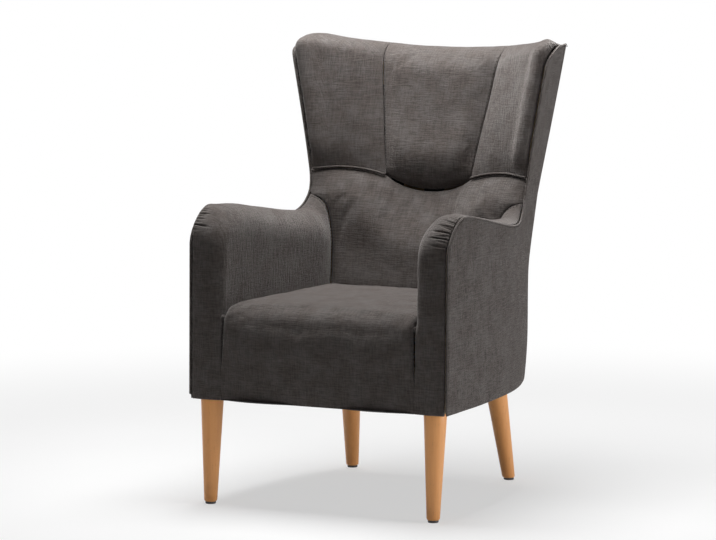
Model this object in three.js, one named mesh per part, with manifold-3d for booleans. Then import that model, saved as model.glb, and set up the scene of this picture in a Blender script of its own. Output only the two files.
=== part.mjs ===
// A fireside wing armchair with a tight seat and back on four turned legs, as the pieces it is built from.
// Millimetres. X runs across (the sitter's left is +X), Y from the front edge of the arms to the back, Z up.
import * as THREE from 'three';
import { mergeVertices } from 'three/addons/utils/BufferGeometryUtils.js';
import Module from 'manifold-3d';

const wasm = await Module();
wasm.setup();

// Fits
const clearance = 0.3;        // between pieces that touch
const seamGap = 0.8;          // between two covers at a sewn seam
const foldGap = 1.4;          // where two covers meet in a deep fold or beside the welt
const cornerGap = 2;          // round the corners of the outside back
const overrun = 20;           // how far a cutting solid runs past what it cuts

// Heights, each from the one that it is built up from
const hemZ = 240;             // lower edge of the covers
const frameLift = 3;
const frameBottomZ = hemZ + frameLift;
const seatRise = 206;
const seatZ = hemZ + seatRise;
const armCrestRise = 222;     // top of the arm over the seat
const armCrestZ = seatZ + armCrestRise;
const armTurn = 82;           // how far below its top the arm's front starts to round off
const armFrontZ = armCrestZ - armTurn;
const armDipDrop = 51;
const armDipZ = armCrestZ - armDipDrop;
const waistRise = 101;
const waistZ = armDipZ + waistRise;
const shoulderRise = 254;     // length of the wing's upright edge
const shoulderZ = waistZ + shoulderRise;
const cornerRise = 40;
const cornerZ = shoulderZ + cornerRise;

// Body, seen from the side
const bodyDepth = 600;        // front edge of the arm to the rear edge, below the lean
const halfWidth = 318;        // outside of the arm at its front
const sideDrawIn = 67;        // how far the rear edge stands in from the front one
const footDrawIn = 8;         // and how much further at the hem
const footDrawDrop = 221;
const footDrawZ = armFrontZ - footDrawDrop;
const sideCurve = 3.3;        // power of the side's plan curve
const backTuckIn = 20;        // the back draws in towards the hem
const backTuckRise = 160;
const backTuckZ = hemZ + backTuckRise;
const backLean = 143;         // how far the top of the back lies behind its foot
const leanStartDrop = 76;
const leanStartZ = armFrontZ - leanStartDrop;
const topTrim = 2;            // the lean and the flare are measured this far below the corner
const leanEndZ = cornerZ - topTrim;
const leanEaseShare = 0.35;
const leanSoftShare = 0.06;
const backCrownLow = 30;      // outside back, middle behind its corners, at the hem
const backCrownHigh = 12;     // and at the top
const wingFlare = 58;         // how far the wing's front edge leans out at the top
const flareStartDrop = 53;
const flareStartZ = waistZ - flareStartDrop;
const flareEndZ = cornerZ - topTrim;
const flarePower = 1.15;
const rearFlareLossShare = 0.42;
const tipCurl = 8;            // and how much further its tip curls out
const tipCurlDrop = 37;
const tipCurlLift = 3;
const tipCurlStartZ = cornerZ - tipCurlDrop;
const tipCurlEndZ = cornerZ + tipCurlLift;
const tipCurlShare = 0.6;     // share of the wing's depth over which the curl fades out

// Welt line on the outer side: arm front, arm top, waist, wing and tip
const armFrontInset = 5;
const armCrestY = 95;
const waistInset = 69;        // wing's front edge ahead of the body's rear edge
const waistY = bodyDepth - waistInset;
const dipInset = 95;
const armDipY = waistY - dipInset;
const shoulderStep = 3;
const shoulderY = waistY + shoulderStep;
const armSeamShare = 0.62;    // where the arm's rear seam meets the welt, along the curve up to the waist
const armHandleShare = 0.46;
const crestHandleShare = 0.4;
const topHandleShare = 0.18;
const dipHandleShare = 0.26;
const waistHandleShare = 0.58;
const waistLeanShare = 0.02;
const waistRiseShare = 0.3;
const shoulderRiseShare = 0.25;
const tipLeanShare = 0.01;
const tipRiseShare = 0.9;
const tipHandleShare = 0.16;
const weltRadius = 2.4;
const weltSunk = 0.5;         // how far the cord's back lies in the seam

// Inside of the arms and back, set off from the sides and from the body's rear edge
const armWidthFront = 79;
const armWidthRear = 115;
const armInnerFront = halfWidth - armWidthFront;
const armInnerRear = halfWidth - armWidthRear;
const seatBackInset = 116;    // where the seat meets the back
const seatBackY = bodyDepth - seatBackInset;
const armCrown = 5;           // padding over the arm, at its front
const armCrownRear = 13;      // and where it dips towards the back
const armRollTop = 47;
const armRollFront = 18;
const armRollShoulder = 26;   // the front's roll where the arm starts to round off
const armRollSpread = 30;     // height below and above that place over which it grows
const creaseFadeDrop = 116;   // the crease beside the seat front fades out this far below the seat
const creaseFadeZ = seatZ - creaseFadeDrop;
const waistDrop = 46;         // the waist seam's middle below its ends
const waistMiddleInset = 5;
const waistMiddleY = bodyDepth - waistMiddleInset;
const waistMiddleZ = waistZ - waistDrop;
const headFootSideInset = 209;
const headFootX = halfWidth - headFootSideInset;
const headFootInset = 10;
const headFootDrop = 13;
const headFootY = bodyDepth - headFootInset;
const headFootZ = waistZ - headFootDrop;
const headTopSideInset = 170;
const headTopX = halfWidth - headTopSideInset;
const headTopSetback = 62;
const headTopDrop = 33;
const headTopY = bodyDepth + headTopSetback;
const headTopZ = cornerZ - headTopDrop;
const crestSetback = 100;
const crestDrop = 6;
const crestY = bodyDepth + crestSetback;
const crestZ = cornerZ - crestDrop;
const backSeamDrop = 14;
const backSeamZ = cornerZ - backSeamDrop;
const backSeamSideInset = 163;
const backSeamX = halfWidth - backSeamSideInset;
const backSeamPower = 2.5;
const waistShoulderSideInset = 113;
const waistShoulderX = halfWidth - waistShoulderSideInset;
const waistShoulderInset = 37;
const waistShoulderLift = 4;
const waistShoulderY = bodyDepth - waistShoulderInset;
const waistShoulderZ = waistZ + waistShoulderLift;
const headBulge = 15;
const lumbarBulge = 14;
const wingRoll = 16;
const tipRoll = 28;
const tipRollLossShare = 0.65; // share of the tip's roll lost towards the rear
const tipRollStart = 10;      // from the shoulder
const tipRollEnd = 170;
const wingBulge = 6;

// Seat
const seatCrown = 17;
const seatCrownLossShare = 0.35; // share of the crown lost towards the arms
const seatEdgeRadius = 36;
const seatFrontBulge = 8;
const seatSideRoll = 12;
const hemRoll = 4;            // rounding of the seat's and arms' facing edges at the hem
const tuck = 24;              // how far covers run down beside the seat
const deckDrop = 101;
const deckZ = seatZ - deckDrop;

// Cloth, foam and boards
const coverThickness = 2.4;
const sideCoverThickness = 4;
const armFoamTop = 29;
const armFoamSide = 35;
const armFoamFront = 11;
const armFoamRearLossShare = 0.75; // share of the foam's depth lost at the rear seam
const padEdge = 8;
const padLeast = 3;           // a pad is never thinner than this
const padTrial = 0.5;         // step by which a pad's depth is fitted
const padMost = 50;
const wingPad = 32;
const plyThickness = 12;
const plyFrontInset = 14;
const plyTopInset = 34;
const railInset = 6;          // top of the arm rail below the side board's edge
const railThickness = 24;
const railHeight = 97;
const railTopZ = frameBottomZ + railHeight;
const postWidth = 28;
const postDepth = 42;
const postRearInset = 14;
const boardRearShare = 2 / 3; // the boards' rear edge lies this share of that inset in
const backRailThickness = 22;
const webLowInset = 65;
const webLowDrop = 16;
const webLowY = bodyDepth - webLowInset;
const webLowZ = seatZ - webLowDrop;
const webBendSetback = 25;
const webBendY = bodyDepth + webBendSetback;
const webHighSetback = 104;
const webHighDrop = 27;
const webHighY = bodyDepth + webHighSetback;
const webHighZ = cornerZ - webHighDrop;
const tuckRailDrop = 46;
const tuckRailZ = seatZ - tuckRailDrop;
const backRailHeight = 52;
const crestRailDrop = 104;
const crestRailZ = cornerZ - crestRailDrop;
const webWidth = 50;
const webThickness = 2.5;
const webSideInset = 213;
const webX = halfWidth - webSideInset;
const armRailWidth = 24;
const armRailHeight = 40;

// Springs
const springSideInset = 174;
const springX = halfWidth - springSideInset;
const springShares = [-1, -1 / 3, 1 / 3, 1];
const springWire = 2.1;
const springReach = 24;

// Legs and their fixings
const legTopRadius = 26;
const legFootRadius = 14.5;
const legFootRound = 3;
const legRoom = 2;            // round the leg's top, in the cloth below the seat
const frontLegInset = 42;
const frontLegX = halfWidth - frontLegInset;
const frontLegY = 31;
const frontFootLead = 11;
const frontFootY = frontLegY - frontFootLead;
const rearLegSideInset = 65;
const rearLegX = halfWidth - sideDrawIn - rearLegSideInset;
const rearLegInset = 43;
const rearLegY = bodyDepth - rearLegInset;
const rearFootOutset = 17;
const rearFootSetback = 47;
const rearFootX = rearLegX + rearFootOutset;
const rearFootY = rearLegY + rearFootSetback;
const glideHeight = 5;
const glideRadius = 12;
const glideRound = 1;
const glidePinRadius = 2;
const glidePinLength = 14;
const boltRadius = 4;
const boltDepth = 42;
const boltRise = 60;
const frontBlockDepth = 66;
const frontBlockLap = 3.6;    // how far the front corner block runs past the arm's inner face
const rearBlockWidth = 96;
const rearBlockDepth = 52;
const rearBlockInset = 73;
const rearBlockY = bodyDepth - rearBlockInset;
const hemInset = 24;
const dustCoverThickness = 2;

// Numbers of steps in the curved forms
const roundSides = 20;
const pinSides = 12;
const armLineSteps = 6;
const armCornerSteps = 6;
const armTopSteps = 4;
const armDipSteps = 4;
const waistSteps = 2;
const wingEdgeShares = [0, 0.22, 0.44, 0.66, 0.85, 1];
const wingTipShares = [0.1, 0.19, 0.3, 0.5, 0.74, 0.97];
const headSeamShares = [0, 0.15, 0.3, 0.46, 0.6, 0.71, 0.76, 0.81, 0.86, 0.91, 0.96, 1];
const wingColumnShares = [0, 0.22, 0.44, 0.64, 0.82, 0.93, 1];
const wingRollShares = [0, 0.12, 0.35, 0.7, 1, 0.85, 0];
const headColumns = 8;
const weltSteps = 62;
const weltSides = 6;
const weltPathSteps = 14;
const weltPathDivisions = 1200;
const weltEndShare = 0.97;
const springSides = 5;
const springBendSteps = 4;
const springSteps = 40;
const outlineLineSteps = 2;
const outlineCornerSteps = 7;
const outlineTopSteps = 7;
const outlineDipSteps = 6;
const outlineEdgeSteps = 5;
const outlineTipSteps = 7;

// Finishes
const velvet = { color: 0x35302e, roughness: 0.9, metalness: 0 };
const darkCloth = { color: 0x1d1c1c, roughness: 0.95, metalness: 0 };
const foam = { color: 0xe2d9c0, roughness: 0.9, metalness: 0 };
const legWood = { color: 0xb9702f, roughness: 0.45, metalness: 0 };
const frameWood = { color: 0xc9a677, roughness: 0.7, metalness: 0 };
const springSteel = { color: 0x84868a, roughness: 0.4, metalness: 0.9 };
const boltSteel = { color: 0xa9abb0, roughness: 0.35, metalness: 0.95 };
const nylon = { color: 0x2a2725, roughness: 0.55, metalness: 0 };
const jute = { color: 0x2b2b2b, roughness: 0.9, metalness: 0 };

const chair = new THREE.Group();
const clamp = THREE.MathUtils.clamp;
const mix = THREE.MathUtils.lerp;
const smooth = (value, from, to) => THREE.MathUtils.smoothstep(value, from, to);

// Outer surfaces

// How far the rear edge has leaned back at a height
function leanAt(z) {
  const rise = (z - leanStartZ) / (leanEndZ - leanStartZ);
  const soft = (rise + Math.hypot(rise, leanSoftShare)) / 2;
  return backLean * soft * (1 + leanEaseShare * (1 - soft));
}

// The rear edge of the side at a height
function rearY(z) {
  const below = Math.max(backTuckZ - z, 0) / (backTuckZ - hemZ);
  return bodyDepth + leanAt(z) - backTuckIn * below * below;
}

// The outer face of the side panel: X for a place and a height
function sideX(y, z) {
  const rear = bodyDepth + leanAt(z);
  const behind = (y - waistY) / (rear - waistY);
  const plain = behind > 0 ? waistY + behind * (bodyDepth - waistY) : y;
  const flare = wingFlare * (Math.max(z - flareStartZ, 0) / (flareEndZ - flareStartZ)) ** flarePower;
  const loss = rearFlareLossShare * Math.max(behind, 0);
  const curl = tipCurl * smooth(z, tipCurlStartZ, tipCurlEndZ) * (1 - smooth(behind, 0, tipCurlShare));
  const below = Math.max(footDrawZ - z, 0) / (footDrawZ - hemZ);
  const drawIn = (sideDrawIn + footDrawIn * below * below) * Math.abs(plain / bodyDepth) ** sideCurve;
  return halfWidth - drawIn + flare * (1 - loss) + curl;
}

const sideRearX = (z) => sideX(rearY(z), z);

// The outer face of the back: Y for a place and a height
function backY(x, z) {
  const crown = mix(backCrownLow, backCrownHigh, clamp((z - hemZ) / (leanEndZ - hemZ), 0, 1));
  return rearY(z) + crown * (1 - (x / sideRearX(z)) ** 2);
}

// The inner face of the arm at a depth
const armInner = (y) => mix(armInnerFront, armInnerRear, y / seatBackY);

// Welt line as curves in the side plane, in (y, z)
const weltLine = (() => {
  const at = (y, z) => new THREE.Vector2(y, z);
  const rearTop = rearY(cornerZ);
  const armHeight = armCrestZ - armFrontZ;
  const armRun = armCrestY - armFrontInset;
  const topRun = armDipY - armCrestY;
  const dipRun = waistY - armDipY;
  const edgeRise = shoulderZ - waistZ;
  const tipRise = cornerZ - shoulderZ;
  const tipRun = rearTop - shoulderY;
  return {
    line: new THREE.LineCurve(at(0, hemZ), at(armFrontInset, armFrontZ)),
    corner: new THREE.CubicBezierCurve(
      at(armFrontInset, armFrontZ), at(armFrontInset, armFrontZ + armHandleShare * armHeight),
      at(armCrestY - crestHandleShare * armRun, armCrestZ), at(armCrestY, armCrestZ)),
    top: new THREE.CubicBezierCurve(
      at(armCrestY, armCrestZ), at(armCrestY + topHandleShare * topRun, armCrestZ),
      at(armDipY - dipHandleShare * topRun, armDipZ), at(armDipY, armDipZ)),
    dip: new THREE.CubicBezierCurve(
      at(armDipY, armDipZ), at(armDipY + waistHandleShare * dipRun, armDipZ),
      at(waistY - waistLeanShare * dipRun, mix(armDipZ, waistZ, waistRiseShare)), at(waistY, waistZ)),
    edge: new THREE.CubicBezierCurve(
      at(waistY, waistZ), at(waistY + waistLeanShare * dipRun, waistZ + waistRiseShare * edgeRise),
      at(shoulderY - shoulderStep / 3, shoulderZ - shoulderRiseShare * edgeRise), at(shoulderY, shoulderZ)),
    tip: new THREE.CubicBezierCurve(
      at(shoulderY, shoulderZ), at(shoulderY + tipLeanShare * tipRun, shoulderZ + tipRiseShare * tipRise),
      at(shoulderY + tipHandleShare * tipRun, cornerZ), at(rearTop, cornerZ)),
  };
})();

// Places along one curve of the welt line: the point and the way out of the panel
function stationAt(curve, share) {
  const point = curve.getPointAt(share);
  const tangent = curve.getTangentAt(share);
  return { y: point.x, z: point.y, outY: -tangent.y, outZ: tangent.x };
}

function stationsOf(curve, steps, from = 0, to = 1) {
  return Array.from({ length: steps + 1 }, (unused, index) => stationAt(curve, mix(from, to, index / steps)));
}

const joined = (...lists) => lists.flatMap((list, index) => (index ? list.slice(1) : list));

// Solids from grids

const inward = new THREE.Vector3(-1, 0, 0);
const forward = new THREE.Vector3(0, -1, 0);
const backward = new THREE.Vector3(0, 1, 0);
const upward = new THREE.Vector3(0, 0, 1);
const plus = (a, b, scale = 1) => a.clone().addScaledVector(b, scale);

function solidGeometry(vertices, triangles) {
  const geometry = new THREE.BufferGeometry();
  geometry.setAttribute('position', new THREE.Float32BufferAttribute(vertices, 3));
  geometry.setIndex(triangles);
  return geometry;
}

function signedVolume(vertices, triangles) {
  let total = 0;
  for (let i = 0; i < triangles.length; i += 3) {
    const [a, b, c] = [0, 1, 2].map((k) => new THREE.Vector3().fromArray(vertices, 3 * triangles[i + k]));
    total += a.dot(b.cross(c));
  }
  return total;
}

// A closed solid between two grids of points with the same rows and columns
function solidBetween(outer, inner) {
  const rows = outer.length;
  const columns = outer[0].length;
  const vertices = [...outer.flat(), ...inner.flat()].flatMap((point) => point.toArray());
  const skip = rows * columns;
  const triangles = [];
  const quad = (a, b, c, d) => triangles.push(a, b, c, a, c, d);
  const at = (row, column, side) => side * skip + row * columns + column;
  for (let r = 0; r < rows - 1; r += 1) {
    for (let c = 0; c < columns - 1; c += 1) {
      quad(at(r, c, 0), at(r, c + 1, 0), at(r + 1, c + 1, 0), at(r + 1, c, 0));
      quad(at(r, c, 1), at(r + 1, c, 1), at(r + 1, c + 1, 1), at(r, c + 1, 1));
    }
  }
  for (let r = 0; r < rows - 1; r += 1) {
    const last = columns - 1;
    quad(at(r, 0, 0), at(r + 1, 0, 0), at(r + 1, 0, 1), at(r, 0, 1));
    quad(at(r, last, 0), at(r, last, 1), at(r + 1, last, 1), at(r + 1, last, 0));
  }
  for (let c = 0; c < columns - 1; c += 1) {
    const last = rows - 1;
    quad(at(0, c, 0), at(0, c, 1), at(0, c + 1, 1), at(0, c + 1, 0));
    quad(at(last, c, 0), at(last, c + 1, 0), at(last, c + 1, 1), at(last, c, 1));
  }
  if (signedVolume(vertices, triangles) < 0) {
    triangles.reverse();
  }
  return solidGeometry(vertices, triangles);
}

// Unit normals of a grid, on the side of the given direction
function gridNormals(grid, facing) {
  const rows = grid.length;
  const columns = grid[0].length;
  const normals = grid.map((row, r) => row.map((point, c) => {
    const across = grid[r][Math.min(c + 1, columns - 1)].clone().sub(grid[r][Math.max(c - 1, 0)]);
    const along = grid[Math.min(r + 1, rows - 1)][c].clone().sub(grid[Math.max(r - 1, 0)][c]);
    return across.cross(along).normalize();
  }));
  const middle = normals[rows >> 1][columns >> 1];
  const sign = Math.sign(middle.dot(facing)) || 1;
  return normals.map((row) => row.map((normal) => normal.multiplyScalar(sign)));
}

// The grid moved inwards by a depth, which may differ from place to place
function sunk(grid, normals, depth) {
  const depthAt = typeof depth === 'function' ? depth : () => depth;
  return grid.map((row, r) => row.map((point, c) => plus(point, normals[r][c], -depthAt(r, c))));
}

const columnsFrom = (grid, first, last) => grid.map((row) => row.slice(first, last));

function mirrored(geometry) {
  const position = geometry.attributes.position;
  const vertices = [];
  for (let i = 0; i < position.count; i += 1) {
    vertices.push(-position.getX(i), position.getY(i), position.getZ(i));
  }
  return solidGeometry(vertices, Array.from(geometry.index.array).reverse());
}

function add(name, geometry, finish) {
  const mesh = new THREE.Mesh(geometry, new THREE.MeshStandardMaterial({ ...finish, flatShading: true }));
  mesh.name = name;
  chair.add(mesh);
  return mesh;
}

// One piece on the sitter's left and its mirror image on the right
function addPair(name, geometry, finish) {
  add(`${name}_left`, geometry, finish);
  add(`${name}_right`, mirrored(geometry), finish);
}

// Joining and cutting

const weldDistance = 1e-4;    // vertices nearer than this are one

function toSolid(geometry) {
  const bare = geometry.clone();
  bare.deleteAttribute('normal');
  bare.deleteAttribute('uv');
  const merged = mergeVertices(bare, weldDistance);
  return new wasm.Manifold(new wasm.Mesh({
    numProp: 3,
    vertProperties: new Float32Array(merged.attributes.position.array),
    triVerts: new Uint32Array(merged.index.array),
  }));
}

function toGeometry(solid) {
  const mesh = solid.getMesh();
  return solidGeometry(Array.from(mesh.vertProperties), Array.from(mesh.triVerts));
}

// An outline in (y, z) extruded along X
const sidePlane = new THREE.Matrix4().makeBasis(
  new THREE.Vector3(0, 1, 0), new THREE.Vector3(0, 0, 1), new THREE.Vector3(1, 0, 0));

function extrudeAcross(points, fromX, toX) {
  const shape = new THREE.Shape(points.map(([y, z]) => new THREE.Vector2(y, z)));
  const geometry = new THREE.ExtrudeGeometry(shape, { depth: toX - fromX, bevelEnabled: false });
  geometry.translate(0, 0, fromX);
  return geometry.applyMatrix4(sidePlane);
}

// A layer of the side: everything between two depths below the outer face
const slabFrontShares = [0, 0.28, 0.48, 0.64, 0.77, 0.89, 1];
const slabRearShares = [0.33, 0.66, 1, 1.3];
const slabHeightShares = [0, 0.34, 0.41, 0.48, 0.55, 0.64, 0.74, 0.84, 0.93, 1];

function sideSlab(outerDepth, innerDepth) {
  const bottom = hemZ - overrun;
  const top = cornerZ + overrun;
  const rows = slabHeightShares.map((share) => {
    const z = mix(bottom, top, share);
    const front = slabFrontShares.map((along) => mix(-overrun, waistY, along));
    const rear = slabRearShares.map((along) => mix(waistY, bodyDepth + leanAt(z), along));
    return [...front, ...rear].map((y) => new THREE.Vector3(sideX(y, z), y, z));
  });
  const layer = (depth) => rows.map((row) => row.map((point) => plus(point, inward, depth)));
  return toSolid(solidBetween(layer(outerDepth), layer(innerDepth)));
}

function sideLayer(points, outerDepth, innerDepth) {
  const block = toSolid(extrudeAcross(points, 0, halfWidth + wingFlare + overrun));
  return sideSlab(outerDepth, innerDepth).intersect(block);
}

// What lies between the two sides, at least a depth inside their outer faces
function betweenSides(solid, depth) {
  const wall = toGeometry(sideSlab(-halfWidth, depth));
  return solid.subtract(toSolid(wall)).subtract(toSolid(mirrored(wall)));
}

// Outlines of the side pieces, following the welt line at an inset

function insetLine(list, inset) {
  const insetAt = typeof inset === 'function' ? inset : () => inset;
  return list.map((place) => {
    const depth = insetAt(place);
    return [place.y - place.outY * depth, place.z - place.outZ * depth];
  });
}

const weltStations = joined(
  stationsOf(weltLine.line, outlineLineSteps),
  stationsOf(weltLine.corner, outlineCornerSteps),
  stationsOf(weltLine.top, outlineTopSteps),
  stationsOf(weltLine.dip, outlineDipSteps),
  stationsOf(weltLine.edge, outlineEdgeSteps),
  stationsOf(weltLine.tip, outlineTipSteps));

// The rear edge, from the top down, at an inset
const rearLineShares = [1, 0.88, 0.76, 0.64, 0.54, 0.46, 0.38, 0.3, 0.2, 0.1, 0];
function rearLine(fromZ, toZ, inset) {
  return rearLineShares.map((share) => {
    const z = mix(toZ, fromZ, share);
    return [rearY(z) - inset, z];
  });
}

const weltRoom = weltRadius + foldGap;

function addSideCover() {
  const onPanel = ([y, z]) => z > hemZ + weltRoom && y < rearY(cornerZ) - overrun;
  const edge = insetLine(weltStations, weltRoom).filter(onPanel);
  const rear = rearLine(cornerZ - weltRoom, hemZ, sideCoverThickness + cornerGap);
  const foot = [[weltRoom, hemZ]];
  const outline = [...foot, ...edge, ...rear];
  addPair('outside_cover', toGeometry(sideLayer(outline, 0, sideCoverThickness)), velvet);
}

const boardOuter = sideCoverThickness + clearance;
const boardInner = boardOuter + plyThickness;
const frameOuter = boardInner + clearance;

const boardTurnShares = [0.2, 0.9]; // how far the welt has turned over as the inset grows to its most
const boardInset = (place) => mix(plyFrontInset, plyTopInset, smooth(place.outZ, ...boardTurnShares));
const boardSplitShare = 0.1;  // where arm board and wing board meet, on the way from the dip to the waist
const boardSplitZ = mix(armDipZ, waistZ, boardSplitShare);
const boardRearInset = boardRearShare * postRearInset;
const boardDipShare = 0.8;    // share of the dip that the arm board's upper edge follows

function addArmBoard() {
  const stations = joined(
    stationsOf(weltLine.line, 1),
    stationsOf(weltLine.corner, outlineCornerSteps),
    stationsOf(weltLine.top, outlineTopSteps));
  const edge = insetLine(stations, boardInset).slice(1);
  const dipStations = stationsOf(weltLine.dip, outlineDipSteps, 0, boardDipShare);
  const dip = insetLine(dipStations, plyTopInset).slice(1).filter(([, z]) => z < boardSplitZ - clearance);
  const turnY = waistY + plyTopInset;
  const rear = rearLine(boardSplitZ - clearance, frameBottomZ + clearance, boardRearInset);
  const outline = [
    [plyFrontInset, frameBottomZ + clearance], ...edge,
    ...dip, [turnY, boardSplitZ - clearance], ...rear];
  addPair('arm_board', toGeometry(sideLayer(outline, boardOuter, boardInner)), frameWood);
}

function addWingBoard() {
  const stations = joined(
    stationsOf(weltLine.edge, outlineEdgeSteps),
    stationsOf(weltLine.tip, outlineTipSteps));
  const edge = insetLine(stations, (place) => mix(plyFrontInset, plyTopInset, smooth(place.outZ, 0, 1)));
  const top = edge.filter(([y]) => y < rearY(cornerZ - plyTopInset) - overrun);
  const rear = rearLine(cornerZ - plyTopInset, boardSplitZ, boardRearInset);
  const outline = [[waistY + plyTopInset, boardSplitZ], ...top, ...rear];
  addPair('wing_board', toGeometry(sideLayer(outline, boardOuter, boardInner)), frameWood);
}

// Hardwood under the arms, along the sides and up the back

const railEndShare = 0.98;    // share of the arm's top that its rail runs along

function addArmRail() {
  const inset = plyTopInset + railInset;
  const stations = stationsOf(weltLine.top, armTopSteps + 1, 0, railEndShare);
  const upper = insetLine(stations, inset);
  const lower = insetLine(stations, inset + armRailHeight);
  const outline = [...upper, ...lower.reverse()];
  addPair('arm_rail', toGeometry(sideLayer(outline, frameOuter, frameOuter + armRailWidth)), frameWood);
}

const rectangle = (fromY, toY, fromZ, toZ) => [[fromY, fromZ], [toY, fromZ], [toY, toZ], [fromY, toZ]];
const frontBlockY = plyFrontInset + clearance;
const frontBlockWidth = armWidthFront + frontBlockLap - frameOuter;

function addSeatSideRail() {
  const from = frontBlockY + frontBlockDepth + clearance;
  const outline = rectangle(from, rearBlockY - clearance, frameBottomZ, railTopZ);
  addPair('seat_rail', toGeometry(sideLayer(outline, frameOuter, frameOuter + railThickness)), frameWood);
}

function addBackPost() {
  const front = rearLine(crestRailZ + backRailHeight, railTopZ + clearance, postRearInset + postDepth);
  const rear = rearLine(crestRailZ + backRailHeight, railTopZ + clearance, postRearInset);
  const outline = [...rear, ...front.reverse()];
  addPair('back_post', toGeometry(sideLayer(outline, frameOuter, frameOuter + postWidth)), frameWood);
}

// The front of the back webbing at a height
const webY = (z) => (z < waistMiddleZ
  ? mix(webLowY, webBendY, (z - webLowZ) / (waistMiddleZ - webLowZ))
  : mix(webBendY, webHighY, (z - waistMiddleZ) / (webHighZ - waistMiddleZ)));

// A bent strip behind the webbing line, from one height to another
function webStrip(fromZ, toZ, near, far) {
  const heights = fromZ < waistMiddleZ && toZ > waistMiddleZ ? [fromZ, waistMiddleZ, toZ] : [fromZ, toZ];
  const front = heights.map((z) => [webY(z) + near, z]);
  const rear = heights.map((z) => [webY(z) + far, z]);
  return [...rear, ...front.reverse()];
}

function addBackRails() {
  const near = webThickness + clearance;
  const reach = frameOuter + postWidth + clearance;
  const rails = {
    tuck_rail: tuckRailZ,
    waist_rail: waistMiddleZ - backRailHeight / 2,
    crest_rail: crestRailZ,
  };
  for (const [name, z] of Object.entries(rails)) {
    const strip = webStrip(z, z + backRailHeight, near, near + backRailThickness);
    const bar = toSolid(extrudeAcross(strip, -halfWidth, halfWidth));
    add(name, toGeometry(betweenSides(bar, reach)), frameWood);
  }
}

function addBackWebs() {
  for (const place of [-1, 0, 1]) {
    const strip = webStrip(tuckRailZ, crestRailZ + backRailHeight, 0, webThickness);
    const middle = place * webX;
    add(`back_web_${place + 2}`, extrudeAcross(strip, middle - webWidth / 2, middle + webWidth / 2), jute);
  }
}

function addSeatEndRails() {
  const front = rectangle(frontBlockY, frontBlockY + railThickness, frameBottomZ, railTopZ);
  const frontBar = toSolid(extrudeAcross(front, -halfWidth, halfWidth));
  const frontReach = frameOuter + frontBlockWidth + clearance;
  add('seat_rail_front', toGeometry(betweenSides(frontBar, frontReach)), frameWood);
  const rearFrom = rearBlockY + (rearBlockDepth - railThickness) / 2;
  const rear = rectangle(rearFrom, rearFrom + railThickness, frameBottomZ, railTopZ);
  const rearBar = toSolid(extrudeAcross(rear, -halfWidth, halfWidth));
  const rearReach = frameOuter + rearBlockWidth + clearance;
  add('seat_rail_rear', toGeometry(betweenSides(rearBar, rearReach)), frameWood);
}

// Legs, their bolts and glides: turned parts, sheared along the leg's rake

const legs = {
  front: { x: frontLegX, y: frontLegY, footX: frontLegX, footY: frontFootY },
  rear: { x: rearLegX, y: rearLegY, footX: rearFootX, footY: rearFootY },
};
const legTopZ = frameBottomZ - clearance;

// A turned form about the leg's own axis, with level ends
function turned(profile, leg, sides = roundSides) {
  const points = profile.map(([radius, z]) => new THREE.Vector2(radius, z));
  const geometry = new THREE.LatheGeometry(points, sides);
  geometry.rotateX(Math.PI / 2);
  const rake = new THREE.Matrix4().set(
    1, 0, (leg.x - leg.footX) / legTopZ, leg.footX,
    0, 1, (leg.y - leg.footY) / legTopZ, leg.footY,
    0, 0, 1, 0,
    0, 0, 0, 1);
  geometry.applyMatrix4(rake);
  geometry.deleteAttribute('normal');
  geometry.deleteAttribute('uv');
  return mergeVertices(geometry, weldDistance);
}

const boltBottomZ = legTopZ - boltDepth;
const boltTopZ = frameBottomZ + boltRise;

function legProfile() {
  const bottom = glideHeight + clearance;
  const pinHole = glidePinRadius + clearance;
  const boltHole = boltRadius + clearance;
  const radiusAt = (z) => mix(legFootRadius, legTopRadius, z / legTopZ);
  return [
    [0, bottom + glidePinLength], [pinHole, bottom + glidePinLength], [pinHole, bottom],
    [legFootRadius - legFootRound, bottom], [radiusAt(bottom + legFootRound), bottom + legFootRound],
    [legTopRadius - legFootRound / 2, legTopZ], [boltHole, legTopZ],
    [boltHole, boltBottomZ - clearance], [0, boltBottomZ - clearance]];
}

function addLegs() {
  const glideProfile = [
    [0, 0], [glideRadius - glideRound, 0], [glideRadius, glideHeight / 4], [glideRadius, glideHeight],
    [glidePinRadius, glideHeight], [glidePinRadius, glideHeight + glidePinLength],
    [0, glideHeight + glidePinLength]];
  const boltProfile = [[0, boltBottomZ], [boltRadius, boltBottomZ], [boltRadius, boltTopZ], [0, boltTopZ]];
  for (const [name, leg] of Object.entries(legs)) {
    addPair(`leg_${name}`, turned(legProfile(), leg), legWood);
    addPair(`glide_${name}`, turned(glideProfile, leg, pinSides), nylon);
    addPair(`hanger_bolt_${name}`, turned(boltProfile, leg, pinSides), boltSteel);
  }
}

function addCornerBlocks() {
  const holeRadius = boltRadius + clearance;
  const hole = [[0, frameBottomZ - overrun], [holeRadius, frameBottomZ - overrun],
    [holeRadius, railTopZ + overrun], [0, railTopZ + overrun]];
  const blocks = {
    front: { from: frontBlockY, depth: frontBlockDepth, width: frontBlockWidth },
    rear: { from: rearBlockY, depth: rearBlockDepth, width: rearBlockWidth },
  };
  for (const [name, block] of Object.entries(blocks)) {
    const outline = rectangle(block.from, block.from + block.depth, frameBottomZ, railTopZ);
    const solid = sideLayer(outline, frameOuter, frameOuter + block.width);
    const drilled = solid.subtract(toSolid(turned(hole, legs[name], pinSides)));
    addPair(`corner_block_${name}`, toGeometry(drilled), frameWood);
  }
}

const dustSideShares = [0, 0.2, 0.4, 0.6, 0.7, 0.8, 0.9, 1];
const dustRearShares = [0.5, 0, -0.5];

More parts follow.
